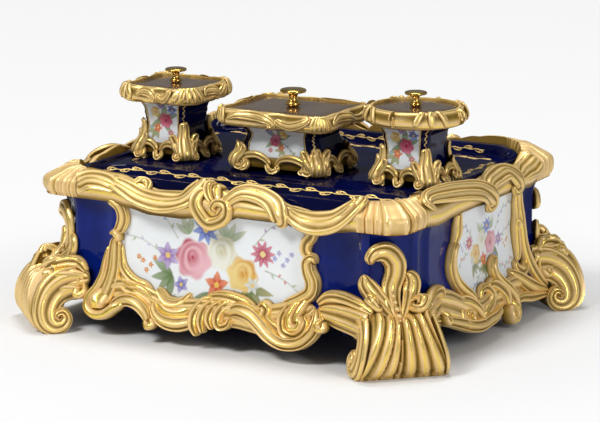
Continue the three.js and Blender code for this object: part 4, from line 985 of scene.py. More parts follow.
def foot_core(bm, signs):
    turn = hand(signs)
    front_share = 0.78
    host = foot_front(signs)

    def place(s, t):
        u = 2 * t - 1
        if s <= front_share:
            v = s / front_share
            ridge = foot_ridge(u * turn, v)
            depth = foot_flute_depth * ease(v / 0.10) * ease((1 - v) / 0.05)
            return host(u, v, -depth * (1 - ridge)), ridge
        w = (s - front_share) / (1 - front_share) * (len(foot_under) + 1)
        i = min(int(w), len(foot_under))
        loop = [tuple(foot_outline[-1]), *foot_under, tuple(foot_outline[0])]
        out = blend(loop[i][0], loop[i + 1][0], w - i)
        up = blend(loop[i][1], loop[i + 1][1], w - i)
        dip = foot_dip(u, 0.0) * clamp(w - len(foot_under))
        return corner_place(signs, u * foot_half(up), up - dip, out), 0.0

    skin(bm, 128, 72, place)
    rims = [edge for edge in bm.edges if len(edge.link_faces) == 1]
    bmesh.ops.holes_fill(bm, edges=rims, sides=0)


# The scroll down a flank and into its eye: millimetres out from the pilaster and up from the table.
foot_flank = [
    (2, 35.5), (9.5, 34.5), (16.5, 31.5), (22, 27), (25.8, 21), (27.5, 14.5), (26.2, 8.5), (21.5, 5),
    (15.5, 6), (12.5, 10.5), (15, 15), (19.5, 14), (20, 10),
]


def foot_arm(bm, signs, wall, start, side):
    """The fluted scroll from beside the frame, along the wall, over the flank and into its eye."""
    end = (half_length if wall == "front" else half_depth) - 0.004

    def on_wall(share, up, out):
        along_wall = blend(start, end, share)
        if wall == "front":
            x, y = along_wall, half_depth + side_flare(up) + out
        else:
            x, y = half_length + side_flare(up) + out, along_wall
        return Vector((signs[0] * x, signs[1] * y, up))

    def arm(stations, flank, widths, heights, flutes):
        pairs = []
        for share, *place in stations:
            up, out = metres(place)
            here = on_wall(share, up, out)
            pairs.append((here, on_wall(share, up, out + 0.01) - here))
        for out, up in (metres(place) for place in flank):
            half = foot_half(up)
            here = corner_place(signs, side * (half + 0.0005), up, out)
            pairs.append((here, corner_place(signs, side * (half + 0.01), up, out) - here))
        ribbon(bm, pairs, metres(widths), metres(heights), flutes, 150, 44, (0.05, 0.03))

    arm([(0.0, 38.5, 0.5), (0.22, 38.5, 1), (0.5, 37.8, 3), (0.8, 36.5, 8.5)], foot_flank,
        [12, 22.5, 26.5, 27.5, 26.5, 24, 21, 18.5, 15, 11.5, 8.5, 6, 4],
        [4, 7.5, 9.5, 8.5, 6, 5.2, 4.8, 4.5, 4.5, 4.5, 5, 5], 4)
    arm([(0.02, 44, 4), (0.18, 50, 5), (0.4, 50.8, 6), (0.66, 49, 10), (0.9, 45.5, 15)], [],
        [4, 7.5, 8.5, 8, 6.5, 3], [3, 6, 6.5, 6, 3], 2)
    arm([(0.12, 34.5, 1), (0.04, 31, 3), (0.09, 28, 4), (0.17, 28.8, 5), (0.16, 32.5, 5)], [],
        [3, 6, 7, 6.5, 3], [3, 6, 7, 5], 1)


# The two small scrolls at the top of the front: shares across and down it, widths and heights in mm.
foot_volutes = [
    ([(0.15, 0.02), (0.55, 0.05), (0.92, 0.12), (1.0, 0.22), (0.8, 0.27), (0.62, 0.2), (0.74, 0.15)],
     [8, 10, 9, 7, 4], [3, 4, 5, 4]),
    ([(-0.1, 0.03), (-0.5, 0.04), (-0.9, 0.10), (-1.0, 0.2), (-0.82, 0.24), (-0.72, 0.17)],
     [8, 11, 10, 7, 4], [3, 4, 4, 3]),
]


def scroll_foot(corner, signs):
    bm = moulding()
    foot_core(bm, signs)
    turn = hand(signs)
    front_start, side_start = arm_starts[turn]
    foot_arm(bm, signs, "front", front_start, -1)
    foot_arm(bm, signs, "side", side_start, 1)
    for places, widths, heights in foot_volutes:
        run = [(turn * u, v) for u, v in places]
        ribbon(bm, hosted(foot_front(signs), run), metres(widths), metres(heights), 3, 70)
    piece = settle(bm, "foot_" + corner, gilt)
    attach(piece, "stand")
    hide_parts("scroll_foot_" + corner)


for corner, signs in corners.items():
    scroll_foot(corner, signs)


# Sprigs: an acanthus of three fluted leaves luted to each pilaster above its foot, the long one
# curling over at the top, with a stack of small beads at their root.
def bead(bm, centre, outward, radius):
    """A round boss on a surface."""
    out = Vector(outward).normalized()
    side = out.orthogonal().normalized()
    up = out.cross(side)

    def place(s, t):
        angle = s * 2 * math.pi
        lift = math.pi * t
        ring = radius * math.sin(lift)
        where = Vector(centre) + side * ring * math.cos(angle) + up * ring * math.sin(angle)
        # The crest value falls from 1 at the boss's top to 0 at its back, so besides its burnish the gilding
        # gives it a painted highlight on top and painted shade round its foot.
        return where + out * radius * 0.8 * math.cos(lift), 1.0 - t

    skin(bm, 18, 12, place)


def sprig(corner, signs):
    bm = moulding()
    host = corner_wall(signs)
    turn = hand(signs)

    def leaf(points, widths, heights, flutes):
        pairs = []
        for u, v, out in (metres(point) for point in points):
            here = host(turn * u, v, out)
            pairs.append((here, host(turn * u, v, out + 0.01) - here))
        ribbon(bm, pairs, metres(widths), metres(heights), flutes, 90, 34, (0.05, 0.12))

    leaf([(-1, 36, 4), (-2, 46, 2), (0, 57, 1.5), (3, 67, 1.5), (2.5, 75, 2), (-3, 81.5, 2.8),
          (-10, 82.5, 3.4), (-14.8, 78.8, 3), (-13.8, 74.2, 2)],
         [8, 12, 14.5, 15.5, 16, 15.5, 13, 9.5, 5], [3, 4.5, 5, 5.2, 5.5, 5.5, 5], 3)
    leaf([(-3, 38, 3.5), (-8, 47, 1.5), (-13.5, 54, 1), (-18, 61, 1.5), (-19.8, 67.5, 2.5)],
         [6, 11, 13.8, 11.8, 4], [3, 4.5, 5, 3], 3)
    leaf([(-5, 40, 3), (-11, 46.2, 1.5), (-15.8, 51, 1), (-18.6, 54, 1.5)],
         [5, 8.5, 8.5, 3], [3, 4.5, 4.5, 3], 2)
    leaf([(3, 38, 3.5), (9, 46, 1.5), (13.8, 54, 1), (14.8, 62, 1.5), (10.8, 67.2, 2)],
         [6, 10.8, 12.8, 12, 6], [3, 4.5, 5, 4], 3)
    for i in range(6):
        up = 0.0385 + 0.0036 * i
        outward = host(0.0, up, 0.01) - host(0.0, up, 0.0)
        bead(bm, host(-0.001, up, 0.0086 - 0.0003 * i), outward, 0.0023 - 0.0002 * i)
    piece = settle(bm, "sprig_" + corner, gilt)
    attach(piece, "stand")
    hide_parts("acanthus_sprig_" + corner)


for corner, signs in corners.items():
    sprig(corner, signs)


# Reserves: white fields left in the cobalt and painted in enamels with garden flowers, one within each
# frame. Their edges lie under the gilt scrolls.
class Enamels:
    """A field of small cells that is painted petal by petal, over white glaze."""

    def __init__(self, low_corner, high_corner, cell=0.00065):
        self.low = low_corner
        self.cell = cell
        self.columns = int((high_corner[0] - low_corner[0]) / cell) + 1
        self.rows = int((high_corner[1] - low_corner[1]) / cell) + 1
        white = (0.80, 0.83, 0.84)
        self.colours = [white] * (self.columns * self.rows)

    def wash(self, u, v, reach, shade):
        """Lets shade give a colour and its strength at each cell near a place."""
        first = max(0, int((u - reach - self.low[0]) / self.cell))
        last = min(self.columns - 1, int((u + reach - self.low[0]) / self.cell) + 1)
        bottom = max(0, int((v - reach - self.low[1]) / self.cell))
        top = min(self.rows - 1, int((v + reach - self.low[1]) / self.cell) + 1)
        for row in range(bottom, top + 1):
            for column in range(first, last + 1):
                x = self.low[0] + column * self.cell - u
                y = self.low[1] + row * self.cell - v
                found = shade(x, y)
                if found:
                    colour, strength = found
                    i = row * self.columns + column
                    self.colours[i] = tuple(blend(a, b, strength) for a, b in zip(self.colours[i], colour))

    def petal(self, u, v, angle, length, width, root, tip, strength=0.85, edge=0.0):
        """A petal or a leaf from its root, darker along its edge."""
        cosine = math.cos(math.radians(angle))
        sine = math.sin(math.radians(angle))

        def shade(x, y):
            along = (x * cosine + y * sine) / length
            if along < 0 or along > 1:
                return None
            across = abs(y * cosine - x * sine) / (width / 2 * math.sin(math.pi * along ** 0.75) + 1e-6)
            if across > 1:
                return None
            veins = 0.5 + 0.5 * math.cos(across * 14 + along * 5)
            colour = tuple(blend(a, b, clamp(along * 1.1 - 0.1)) * (1 - edge * across ** 3 - 0.12 * veins)
                           for a, b in zip(root, tip))
            return colour, strength * min(1.0, (1 - across) * 4)

        self.wash(u, v, length, shade)

    def round_bloom(self, u, v, radius, deep, pale, turns=3.0, lean=0.6):
        """A full rose or peony: pale petals shaded with curved strokes, deepest on one side."""
        def shade(x, y):
            reach = math.hypot(x, y) / radius
            angle = math.atan2(y, x)
            edge = 0.93 + 0.07 * math.cos(angle * 6 + 1)
            if reach > edge:
                return None
            strokes = 0.5 + 0.5 * math.cos(reach * turns * 2 * math.pi + 1.3 * math.sin(angle * 2 + reach * 4))
            side = 0.5 + 0.5 * math.cos(angle - lean * math.pi)
            heart = 1 - ease(reach * 2.2)
            depth = clamp(0.16 + 0.5 * strokes * side + 0.6 * heart + 0.45 * side * ease(reach * 1.6 - 0.6))
            colour = tuple(blend(a, b, depth) for a, b in zip(pale, deep))
            return colour, min(1.0, (edge - reach) * 7)

        self.wash(u, v, radius, shade)

    def star_bloom(self, u, v, radius, petals, root, tip, eye, start=0.0):
        for i in range(petals):
            angle = start + 360 / petals * i
            self.petal(u, v, angle, radius, radius * 2.9 / petals + radius * 0.12, root, tip, 0.9, 0.35)
        self.wash(u, v, radius * 0.22, lambda x, y: (eye, 0.9) if math.hypot(x, y) < radius * 0.2 else None)

    def stem(self, points, width, colour, strength=0.6):
        run = [Vector((a, b)) for a, b in points]
        count = int((run[0] - run[-1]).length / self.cell * 1.3) + 6
        for i in range(count + 1):
            u, v = spline(run, i / count)
            self.wash(u, v, width, lambda x, y: (
                (colour, strength * (1 - math.hypot(x, y) / width)) if math.hypot(x, y) < width else None))

    def spray(self, points, bud, leaf, size=0.0024):
        """A thin stem with small buds and leaves to both sides."""
        self.stem(points, 0.0007, (0.25, 0.32, 0.18))
        run = [Vector((a, b)) for a, b in points]
        for i in range(7):
            t = 0.2 + 0.8 * i / 6
            u, v = spline(run, t)
            ahead = spline(run, min(1, t + 0.05)) - spline(run, t - 0.05)
            angle = math.degrees(math.atan2(ahead.y, ahead.x)) + (52 if i % 2 else -52)
            colour = bud if i % 3 else leaf
            pale = tuple(blend(a, 0.8, 0.45) for a in colour)
            self.petal(u, v, angle, size * (1.9 if i % 3 == 0 else 1.4), size * 0.9, colour, pale, 0.8)


crimson = (0.42, 0.02, 0.06)
rose_pink = (0.74, 0.20, 0.30)
blush = (0.84, 0.52, 0.57)
straw = (0.80, 0.56, 0.12)
cream = (0.84, 0.68, 0.28)
sky = (0.20, 0.32, 0.72)
deep_blue = (0.06, 0.09, 0.42)
violet = (0.26, 0.10, 0.40)
lilac = (0.58, 0.48, 0.74)
scarlet = (0.66, 0.06, 0.02)
orange = (0.84, 0.30, 0.08)
leaf_green = (0.13, 0.21, 0.07)
sage = (0.34, 0.43, 0.24)
pale_leaf = (0.62, 0.68, 0.48)
ochre_leaf = (0.46, 0.40, 0.14)


def leaf_spray(field, u, v, angles, length, width, dark=leaf_green, light=sage):
    for i, angle in enumerate(angles):
        field.petal(u, v, angle, length * (1 - 0.12 * (i % 3)), width, dark, light, 0.92, 0.35)


def bouquet(field, u, v, size, seed):
    """A loose garland on a white ground, laid out afresh for each seed."""
    def at(a, b):
        return u + a * size * (1 if seed % 2 == 0 else -1), v + b * size

    leaf_spray(field, *at(-0.34, -0.12), (150, 190, 225, 262), 0.22 * size, 0.075 * size)
    leaf_spray(field, *at(0.30, -0.14), (-8, -42, -78, -110), 0.23 * size, 0.075 * size, leaf_green, ochre_leaf)
    leaf_spray(field, *at(0.02, -0.22), (-60, -95, -130, -160), 0.2 * size, 0.08 * size)
    leaf_spray(field, *at(0.12, 0.18), (30, 62, 95, 120), 0.2 * size, 0.06 * size, sage, pale_leaf)
    leaf_spray(field, *at(-0.2, 0.2), (80, 115, 150), 0.19 * size, 0.06 * size, sage, pale_leaf)
    field.spray([at(-0.42, 0.02), at(-0.62, 0.12), at(-0.84, 0.14)], lilac, sage)
    field.spray([at(-0.30, 0.16), at(-0.46, 0.36), at(-0.68, 0.44)], sky, sage)
    field.spray([at(0.44, 0.0), at(0.62, -0.06), at(0.86, -0.22)], scarlet, sage)
    field.spray([at(0.34, 0.16), at(0.52, 0.34), at(0.78, 0.38)], violet, ochre_leaf)
    field.spray([at(-0.30, -0.26), at(-0.50, -0.34), at(-0.70, -0.28)], rose_pink, sage)
    field.spray([at(0.16, -0.3), at(0.36, -0.42), at(0.56, -0.44)], sky, sage)
    field.round_bloom(*at(0.07, 0.09), 0.155 * size, (0.56, 0.52, 0.30), (0.82, 0.83, 0.76), 3.2, 0.4)
    field.round_bloom(*at(-0.17, 0.02), 0.170 * size, crimson, blush, 3.4, 0.8)
    field.round_bloom(*at(0.25, -0.05), 0.145 * size, (0.60, 0.26, 0.01), cream, 3.0, 0.2)
    field.star_bloom(*at(-0.06, 0.25), 0.12 * size, 8, deep_blue, sky, straw, 12)
    field.star_bloom(*at(-0.39, 0.02), 0.110 * size, 6, violet, lilac, straw, 30)
    field.star_bloom(*at(0.42, 0.12), 0.11 * size, 10, crimson, rose_pink, cream, 5)
    field.star_bloom(*at(0.04, -0.15), 0.105 * size, 5, scarlet, orange, straw, 18)
    field.star_bloom(*at(-0.26, -0.18), 0.07 * size, 5, deep_blue, lilac, straw, 40)
    field.star_bloom(*at(0.34, -0.12), 0.07 * size, 6, (0.62, 0.64, 0.60), (0.84, 0.84, 0.80), straw, 0)
    for i in range(5):
        right = at(0.52 + 0.035 * i, 0.10 + 0.05 * math.sin(i * 2.1))
        left = at(-0.5 - 0.035 * i, -0.06 + 0.05 * math.cos(i * 1.7))
        field.star_bloom(*right, 0.026 * size, 5, sky, lilac, straw)
        field.star_bloom(*left, 0.026 * size, 5, scarlet, straw, cream)


def painted_white():
    finish = Finish("painted_white_glaze")
    paint = finish.node("ShaderNodeAttribute", {"attribute_name": "enamel"})
    pooled = finish.spots(55.0, 2.0)
    values = {"Base Color": paint, "Roughness": 0.10 + 0.08 * pooled}
    values.update({"Coat Weight": 0.3, "Coat Roughness": 0.05, "Normal": finish.bumped(pooled, 0.0003)})
    return finish.surface(values)


enamelled = painted_white()


def inside(outline, u, v):
    """Whether a place lies within an outline."""
    crossed = False
    for i, (x, y) in enumerate(outline):
        x0, y0 = outline[i - 1]
        if (y > v) != (y0 > v) and u < (x0 - x) * (v - y) / (y0 - y) + x:
            crossed = not crossed
    return crossed


slab_depth = 0.0012


def reserve(name, host, outline, field, body, proud=0.0003):
    """A thin slab of white glaze on a host, cut to an outline, with the field's colours on its front."""
    bm = bmesh.new()
    paint = bm.verts.layers.float_color.new("enamel")
    columns, rows = field.columns - 1, field.rows - 1
    made = bmesh.ops.create_grid(bm, x_segments=columns, y_segments=rows, size=0.5)["verts"]
    outer = []
    for vert in made:
        column = round((vert.co.x + 0.5) * columns)
        row = round((vert.co.y + 0.5) * rows)
        u = field.low[0] + column * field.cell
        v = field.low[1] + row * field.cell
        vert[paint] = (*field.colours[row * field.columns + column], 1.0)
        if outline and not inside(outline, u, v):
            outer.append(vert)
        vert.co = host(u, v, proud)
    bmesh.ops.delete(bm, geom=outer, context="VERTS")
    loose = [vert for vert in bm.verts if not vert.link_faces]
    bmesh.ops.delete(bm, geom=loose, context="VERTS")
    grown = bmesh.ops.extrude_face_region(bm, geom=bm.faces[:], use_keep_orig=True)["geom"]
    sunk = host(0.0, 0.06, -slab_depth) - host(0.0, 0.06, proud)
    bmesh.ops.translate(bm, verts=[part for part in grown if isinstance(part, bmesh.types.BMVert)], vec=sunk)
    piece = settle(bm, name, enamelled)
    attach(piece, body)
    return piece


front_outline = [metres(place) for place in (
    (-81, 95.6), (-77.5, 88), (-78.5, 78), (-83, 72), (-86.5, 64), (-87, 55), (-83, 46), (-76, 38),
    (-67, 31), (-54, 26), (-40, 25), (-28, 27), (-17, 30), (2, 30), (18, 29), (31, 25.5), (42, 21),
    (50, 24), (56, 33), (66, 39.5), (75, 46), (79, 56), (77, 66), (73, 74), (72.5, 83), (75, 90), (77, 95.6),
)]
side_outline = [metres(place) for place in (
    (-35, 95.6), (-33.5, 88.5), (-35, 80), (-37.5, 73.5), (-41, 68), (-43, 58), (-38.5, 48), (-30, 40.5),
    (-21.5, 35), (-15, 29), (-12, 22.5), (-6, 18), (6, 18), (15, 20.5), (26, 22.5), (34.5, 27), (42, 33),
    (50, 34), (58, 38.5), (61.5, 48), (62, 58), (60, 69), (60.5, 78), (60, 88), (58.5, 95.6),
)]
front_field = Enamels((-0.0885, 0.0195), (0.0815, 0.0956))
bouquet(front_field, -0.004, 0.060, 0.096, 0)
side_field = Enamels((-0.044, 0.0175), (0.063, 0.0956))
bouquet(side_field, 0.014, 0.063, 0.058, 1)
reserve("reserve_front", front_face, front_outline, front_field, "stand")
reserve("reserve_back", turned(front_face), front_outline, front_field, "stand")
reserve("reserve_right", right_face, side_outline, side_field, "stand")
reserve("reserve_left", turned(right_face), side_outline, side_field, "stand")


# Tracery: fine gilt curls painted along the trough, on the deck and on the inner wall, and a small
# painted field on the trough's floor.
def trough_face(u, v, out):
    return Vector((u, v, trough_floor + out))


trough_field = Enamels((-0.102, -0.093), (-0.042, -0.069))
leaf_spray(trough_field, -0.072, -0.080, (10, 60, 120, 200, 250, 320), 0.016, 0.005)
trough_field.round_bloom(-0.072, -0.079, 0.0065, crimson, blush, 2.4, 0.4)
trough_field.star_bloom(-0.060, -0.079, 0.0055, 6, deep_blue, sky, straw, 10)
trough_field.star_bloom(-0.084, -0.079, 0.0050, 5, violet, lilac, straw, 30)
trough_outline = []
for i in range(36):
    angle = i * math.pi / 18
    trough_outline.append((-0.072 + (0.027 + 0.0015 * math.cos(i * 2.1)) * math.cos(angle),
                           -0.081 + (0.0108 + 0.0007 * math.sin(i * 2.1)) * math.sin(angle)))
reserve("reserve_trough", trough_face, trough_outline, trough_field, "stand")


def tracery(bm, line, pitch, reach):
    """A painted line with a pair of small curls at every step along a run of (point, outward, side)."""
    run = [place for place, _, _ in line]
    length = sum((b - a).length for a, b in zip(run, run[1:]))
    count = int(length / pitch)
    last = len(line) - 1
    for i in range(count):
        for turn, knots in ((1, trace_stem), (-1 if i % 2 else 1, trace_curl)):
            knot = []
            for along, up in knots:
                t = clamp((i + along) / count)
                step = min(int(t * last), last - 1)
                share = t * last - step
                here = line[step][0].lerp(line[step + 1][0], share)
                knot.append((here + line[step][2] * reach * up * turn, line[step][1]))
            ribbon(bm, knot, [0.0004, 0.0009, 0.0011, 0.0009, 0.0006], [0.0003, 0.0004, 0.0003], 1, 20, 8)


trace_stem = [(-0.10, -0.10), (0.20, 0.14), (0.50, 0.0), (0.80, -0.14), (1.10, 0.10)]
trace_curl = [(0.10, 0.10), (0.30, 0.66), (0.62, 0.96), (0.88, 0.56), (0.72, 0.24), (0.54, 0.44), (0.64, 0.66)]
tracery_mesh = moulding()
upward = Vector((0.0, 0.0, 1.0))
slope = Vector((0.0045, 0.0072)).normalized()
edge_line = []
for i in range(161):
    turn = blend(0.03, 0.47, i / 160)
    x, y = trough_plan(turn, 0.0019)
    near_x, near_y = trough_plan(turn, 0.0050)
    away = Vector((x - near_x, y - near_y, 0.0)).normalized()
    facing = upward * slope.x - away * slope.y
    edge_line.append((Vector((x, y, 0.1068)), facing, away * slope.x + upward * slope.y))
tracery(tracery_mesh, edge_line, 0.0075, 0.0022)
deck_line = [(Vector((blend(-0.112, 0.112, i / 40), 0.086, tray_floor)), upward, Vector((0.0, 1.0, 0.0)))
             for i in range(41)]
tracery(tracery_mesh, deck_line, 0.0095, 0.0032)
for side in (-1, 1):
    away = Vector((side, 0.0, 0.0))
    side_line = [(Vector((side * 0.1165, blend(-0.046, 0.078, i / 24), tray_floor)), upward, away)
                 for i in range(25)]
    tracery(tracery_mesh, side_line, 0.0095, 0.0030)
wall_line = [(Vector((blend(-0.100, 0.100, i / 40), recess_rear, 0.1140)), Vector((0.0, -1.0, 0.0)), upward)
             for i in range(41)]
tracery(tracery_mesh, wall_line, 0.0090, 0.0022)
tracery_piece = settle(tracery_mesh, "tray_gilt_lines", gilt)
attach(tracery_piece, "stand")


# Pots: two ink pots and a longer box between them, cast with waisted sides and canted corners, glazed
# cobalt outside, with one painted face to the front.
pot_side_share = 0.4


def canted_plan(s, half_x, half_y, cant):
    quarter, share = quarter_turn(s)
    if share < pot_side_share:
        x, y = half_x, share / pot_side_share * (half_y - cant)
    elif share > 1 - pot_side_share:
        x, y = (1 - share) / pot_side_share * (half_x - cant), half_y
    else:
        t = (share - pot_side_share) / (1 - 2 * pot_side_share)
        bulge = cant * 0.12 * math.sin(math.pi * t)
        x = half_x - cant * t + bulge
        y = half_y - cant * (1 - t) + bulge
    return in_quarter(quarter, x, y)


pot_row = -0.012
cant_share = 0.3
clearance = 0.0003
# Each profile has shares of the height and the scale of the plan there.
pot_profile = [(0, 1.07), (0.18, 1.0), (0.45, 0.95), (0.75, 1.02), (0.93, 1.17), (1, 1.22)]
box_profile = [(0, 0.94), (0.2, 1.0), (0.42, 0.98), (0.68, 0.9), (0.92, 1.02), (1, 1.08)]
# All sizes are in metres. half and plate are half lengths, the plate's with its corner radius. reach is
# how far the rim stands out, waves and wave its serpentine edge, knob its radius and height, and out how
# far the mount's corner feet stand out.
tall = {
    "half": (0.0185, 0.0185), "foot": 0.1178, "top": 0.1560, "profile": pot_profile, "bore": 0.016,
    "plate_top": 0.1648, "rim_top": 0.1654, "rim_foot": 0.1536, "reach": 0.0058, "waves": 8, "wave": 0.0013,
    "knob": (0.0080, 0.0108), "leaf_top": 0.139, "out": 0.0075,
}
pots = [
    {**tall, "name": "left_pot", "lid": "left_lid", "x": -0.0998, "plate": (0.0275, 0.0275, 0.012)},
    {
        "name": "centre_box", "lid": "centre_lid", "x": 0.0, "half": (0.033, 0.024), "foot": 0.1168,
        "top": 0.1464, "profile": box_profile, "bore": 0.017, "plate": (0.0405, 0.0325, 0.005),
        "plate_top": 0.1558, "rim_top": 0.1564, "rim_foot": 0.1446, "reach": 0.0058, "waves": 12,
        "wave": 0.0015, "knob": (0.0096, 0.013), "leaf_top": 0.131, "out": 0.010,
    },
    {**tall, "name": "right_pot", "lid": "right_lid", "x": 0.0998, "plate": (0.0295, 0.0295, 0.0295)},
]


def pot_scale(pot, z):
    share = (z - pot["foot"]) / (pot["top"] - pot["foot"])
    return table_at(pot["profile"], clamp(share))[0]


def pot_ring(pot, s, scale, offset, z):
    """A place on the pot's canted plan, scaled and let out."""
    half_x, half_y = (side * scale + offset for side in pot["half"])
    cant = min(pot["half"]) * scale * cant_share + offset * 0.586
    x, y = canted_plan(s, half_x, half_y, cant)
    return Vector((pot["x"] + x, pot_row + y, z))


def round_ring(pot, s, radius, z):
    angle = s * 2 * math.pi
    return Vector((pot["x"] + radius * math.cos(angle), pot_row + radius * math.sin(angle), z))


def pot_body(pot):
    rows = [lambda s: round_ring(pot, s, 0.0, pot["foot"])]
    rows.append(lambda s: pot_ring(pot, s, pot_scale(pot, pot["foot"]), -0.001, pot["foot"]))
    for i in range(33):
        z = blend(pot["foot"] + 0.0004, pot["top"] - 0.0004, i / 32)
        rows.append(lambda s, z=z: pot_ring(pot, s, pot_scale(pot, z), 0.0, z))
    rows.append(lambda s: pot_ring(pot, s, pot_scale(pot, pot["top"]), -0.0008, pot["top"]))
    rows.append(lambda s: round_ring(pot, s, pot["bore"], pot["top"]))
    rows.append(lambda s: round_ring(pot, s, pot["bore"], pot["foot"] + 0.0024))
    rows.append(lambda s: round_ring(pot, s, 0.0, pot["foot"] + 0.0024))
    bm = moulding()
    skin(bm, 160, len(rows) - 1, lambda s, t: (rows[round(t * (len(rows) - 1))](s), 0.0))
    piece = settle(bm, pot["name"] + "_shell", cobalt)
    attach(piece, pot["name"])
    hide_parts(pot["name"] + "_body")


def pot_face(pot):
    def host(u, v, out):
        return Vector((pot["x"] + u, pot_row - (pot["half"][1] * pot_scale(pot, v) + out), v))
    return host


def posy(field, u, v, size, seed):
    """A small bunch for a pot's face, turned over for each odd seed."""
    turn = -1 if seed % 2 else 1

    def at(a, b):
        return u + turn * size * a, v + size * b

    leaf_spray(field, u, v, (20, 75, 150, 215, 300), size * 0.50, size * 0.18)
    leaf_spray(field, *at(-0.2, -0.3), (190, 240, 290), size * 0.30, size * 0.12, sage, ochre_leaf)
    field.spray([(u, v), at(0.4, 0.5), at(0.5, 0.9)], rose_pink, sage, 0.0016)
    field.spray([(u, v), at(-0.5, -0.3), at(-0.7, -0.6)], sky, sage, 0.0016)
    field.round_bloom(*at(0.08, -0.04), size * 0.21, (0.36, 0.01, 0.04), rose_pink, 2.0, 0.5 * turn)
    field.round_bloom(*at(-0.20, 0.16), size * 0.15, (0.60, 0.26, 0.01), cream, 2.0, 0.3)
    field.star_bloom(*at(0.28, 0.24), size * 0.16, 6, deep_blue, sky, straw, 10)
    field.star_bloom(*at(-0.02, 0.36), size * 0.14, 5, violet, lilac, straw, 30)
    field.star_bloom(*at(-0.16, -0.24), size * 0.14, 5, scarlet, orange, straw, 0)
    field.star_bloom(*at(0.22, -0.34), size * 0.11, 6, crimson, blush, cream, 20)


def pot_reserve(pot, seed):
    host = pot_face(pot)
    low_z = pot["foot"] + 0.0045
    high_z = pot["top"] - 0.0015
    left = []
    right = []
    for i in range(13):
        z = blend(low_z, high_z, i / 12)
        edge = pot["half"][0] * pot_scale(pot, z) * 0.72 - 0.0005
        right.append((edge, z))
        left.append((-edge, z))
    outline = right + left[::-1]
    wide = max(u for u, _ in right) + 0.0004
    field = Enamels((-wide, low_z - 0.0002), (wide, high_z + 0.0002), 0.00035)
    size = min(high_z - low_z, 0.030)
    posy(field, 0.0, (low_z + high_z) / 2 + 0.002, size, seed)
    reserve(pot["name"] + "_reserve", host, outline, field, pot["name"], 0.00025)
    bm = moulding()
    for edge in (left, right):
        ribbon(bm, hosted(host, [(u * 1.03, z) for u, z in edge]), [0.0009, 0.0009], [0.0006, 0.0006], 1, 40, 8,
               (0.02, 0.02))
    for turn_x, turn_y in ((1, 1), (-1, 1), (1, -1), (-1, -1)):
        line = []
        for i in range(40):
            z = blend(pot["foot"] + 0.012, pot["top"] - 0.003, i / 39)
            base = pot_ring(pot, 0.125, pot_scale(pot, z), 0.0, z)
            sway = 0.0005 * math.sin(i * 0.9)
            x = (base.x - pot["x"] + sway) * turn_x
            y = (base.y - pot_row - sway) * turn_y
            line.append((Vector((pot["x"] + x, pot_row + y, z)), Vector((turn_x, turn_y, 0))))
        ribbon(bm, line, [0.0007, 0.0007], [0.0004, 0.0004], 1, 90, 8, (0.02, 0.02))
    piece = settle(bm, pot["name"] + "_gilt_lines", gilt)
    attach(piece, pot["name"])


for number, pot in enumerate(pots):
    pot_body(pot)
    pot_reserve(pot, number)


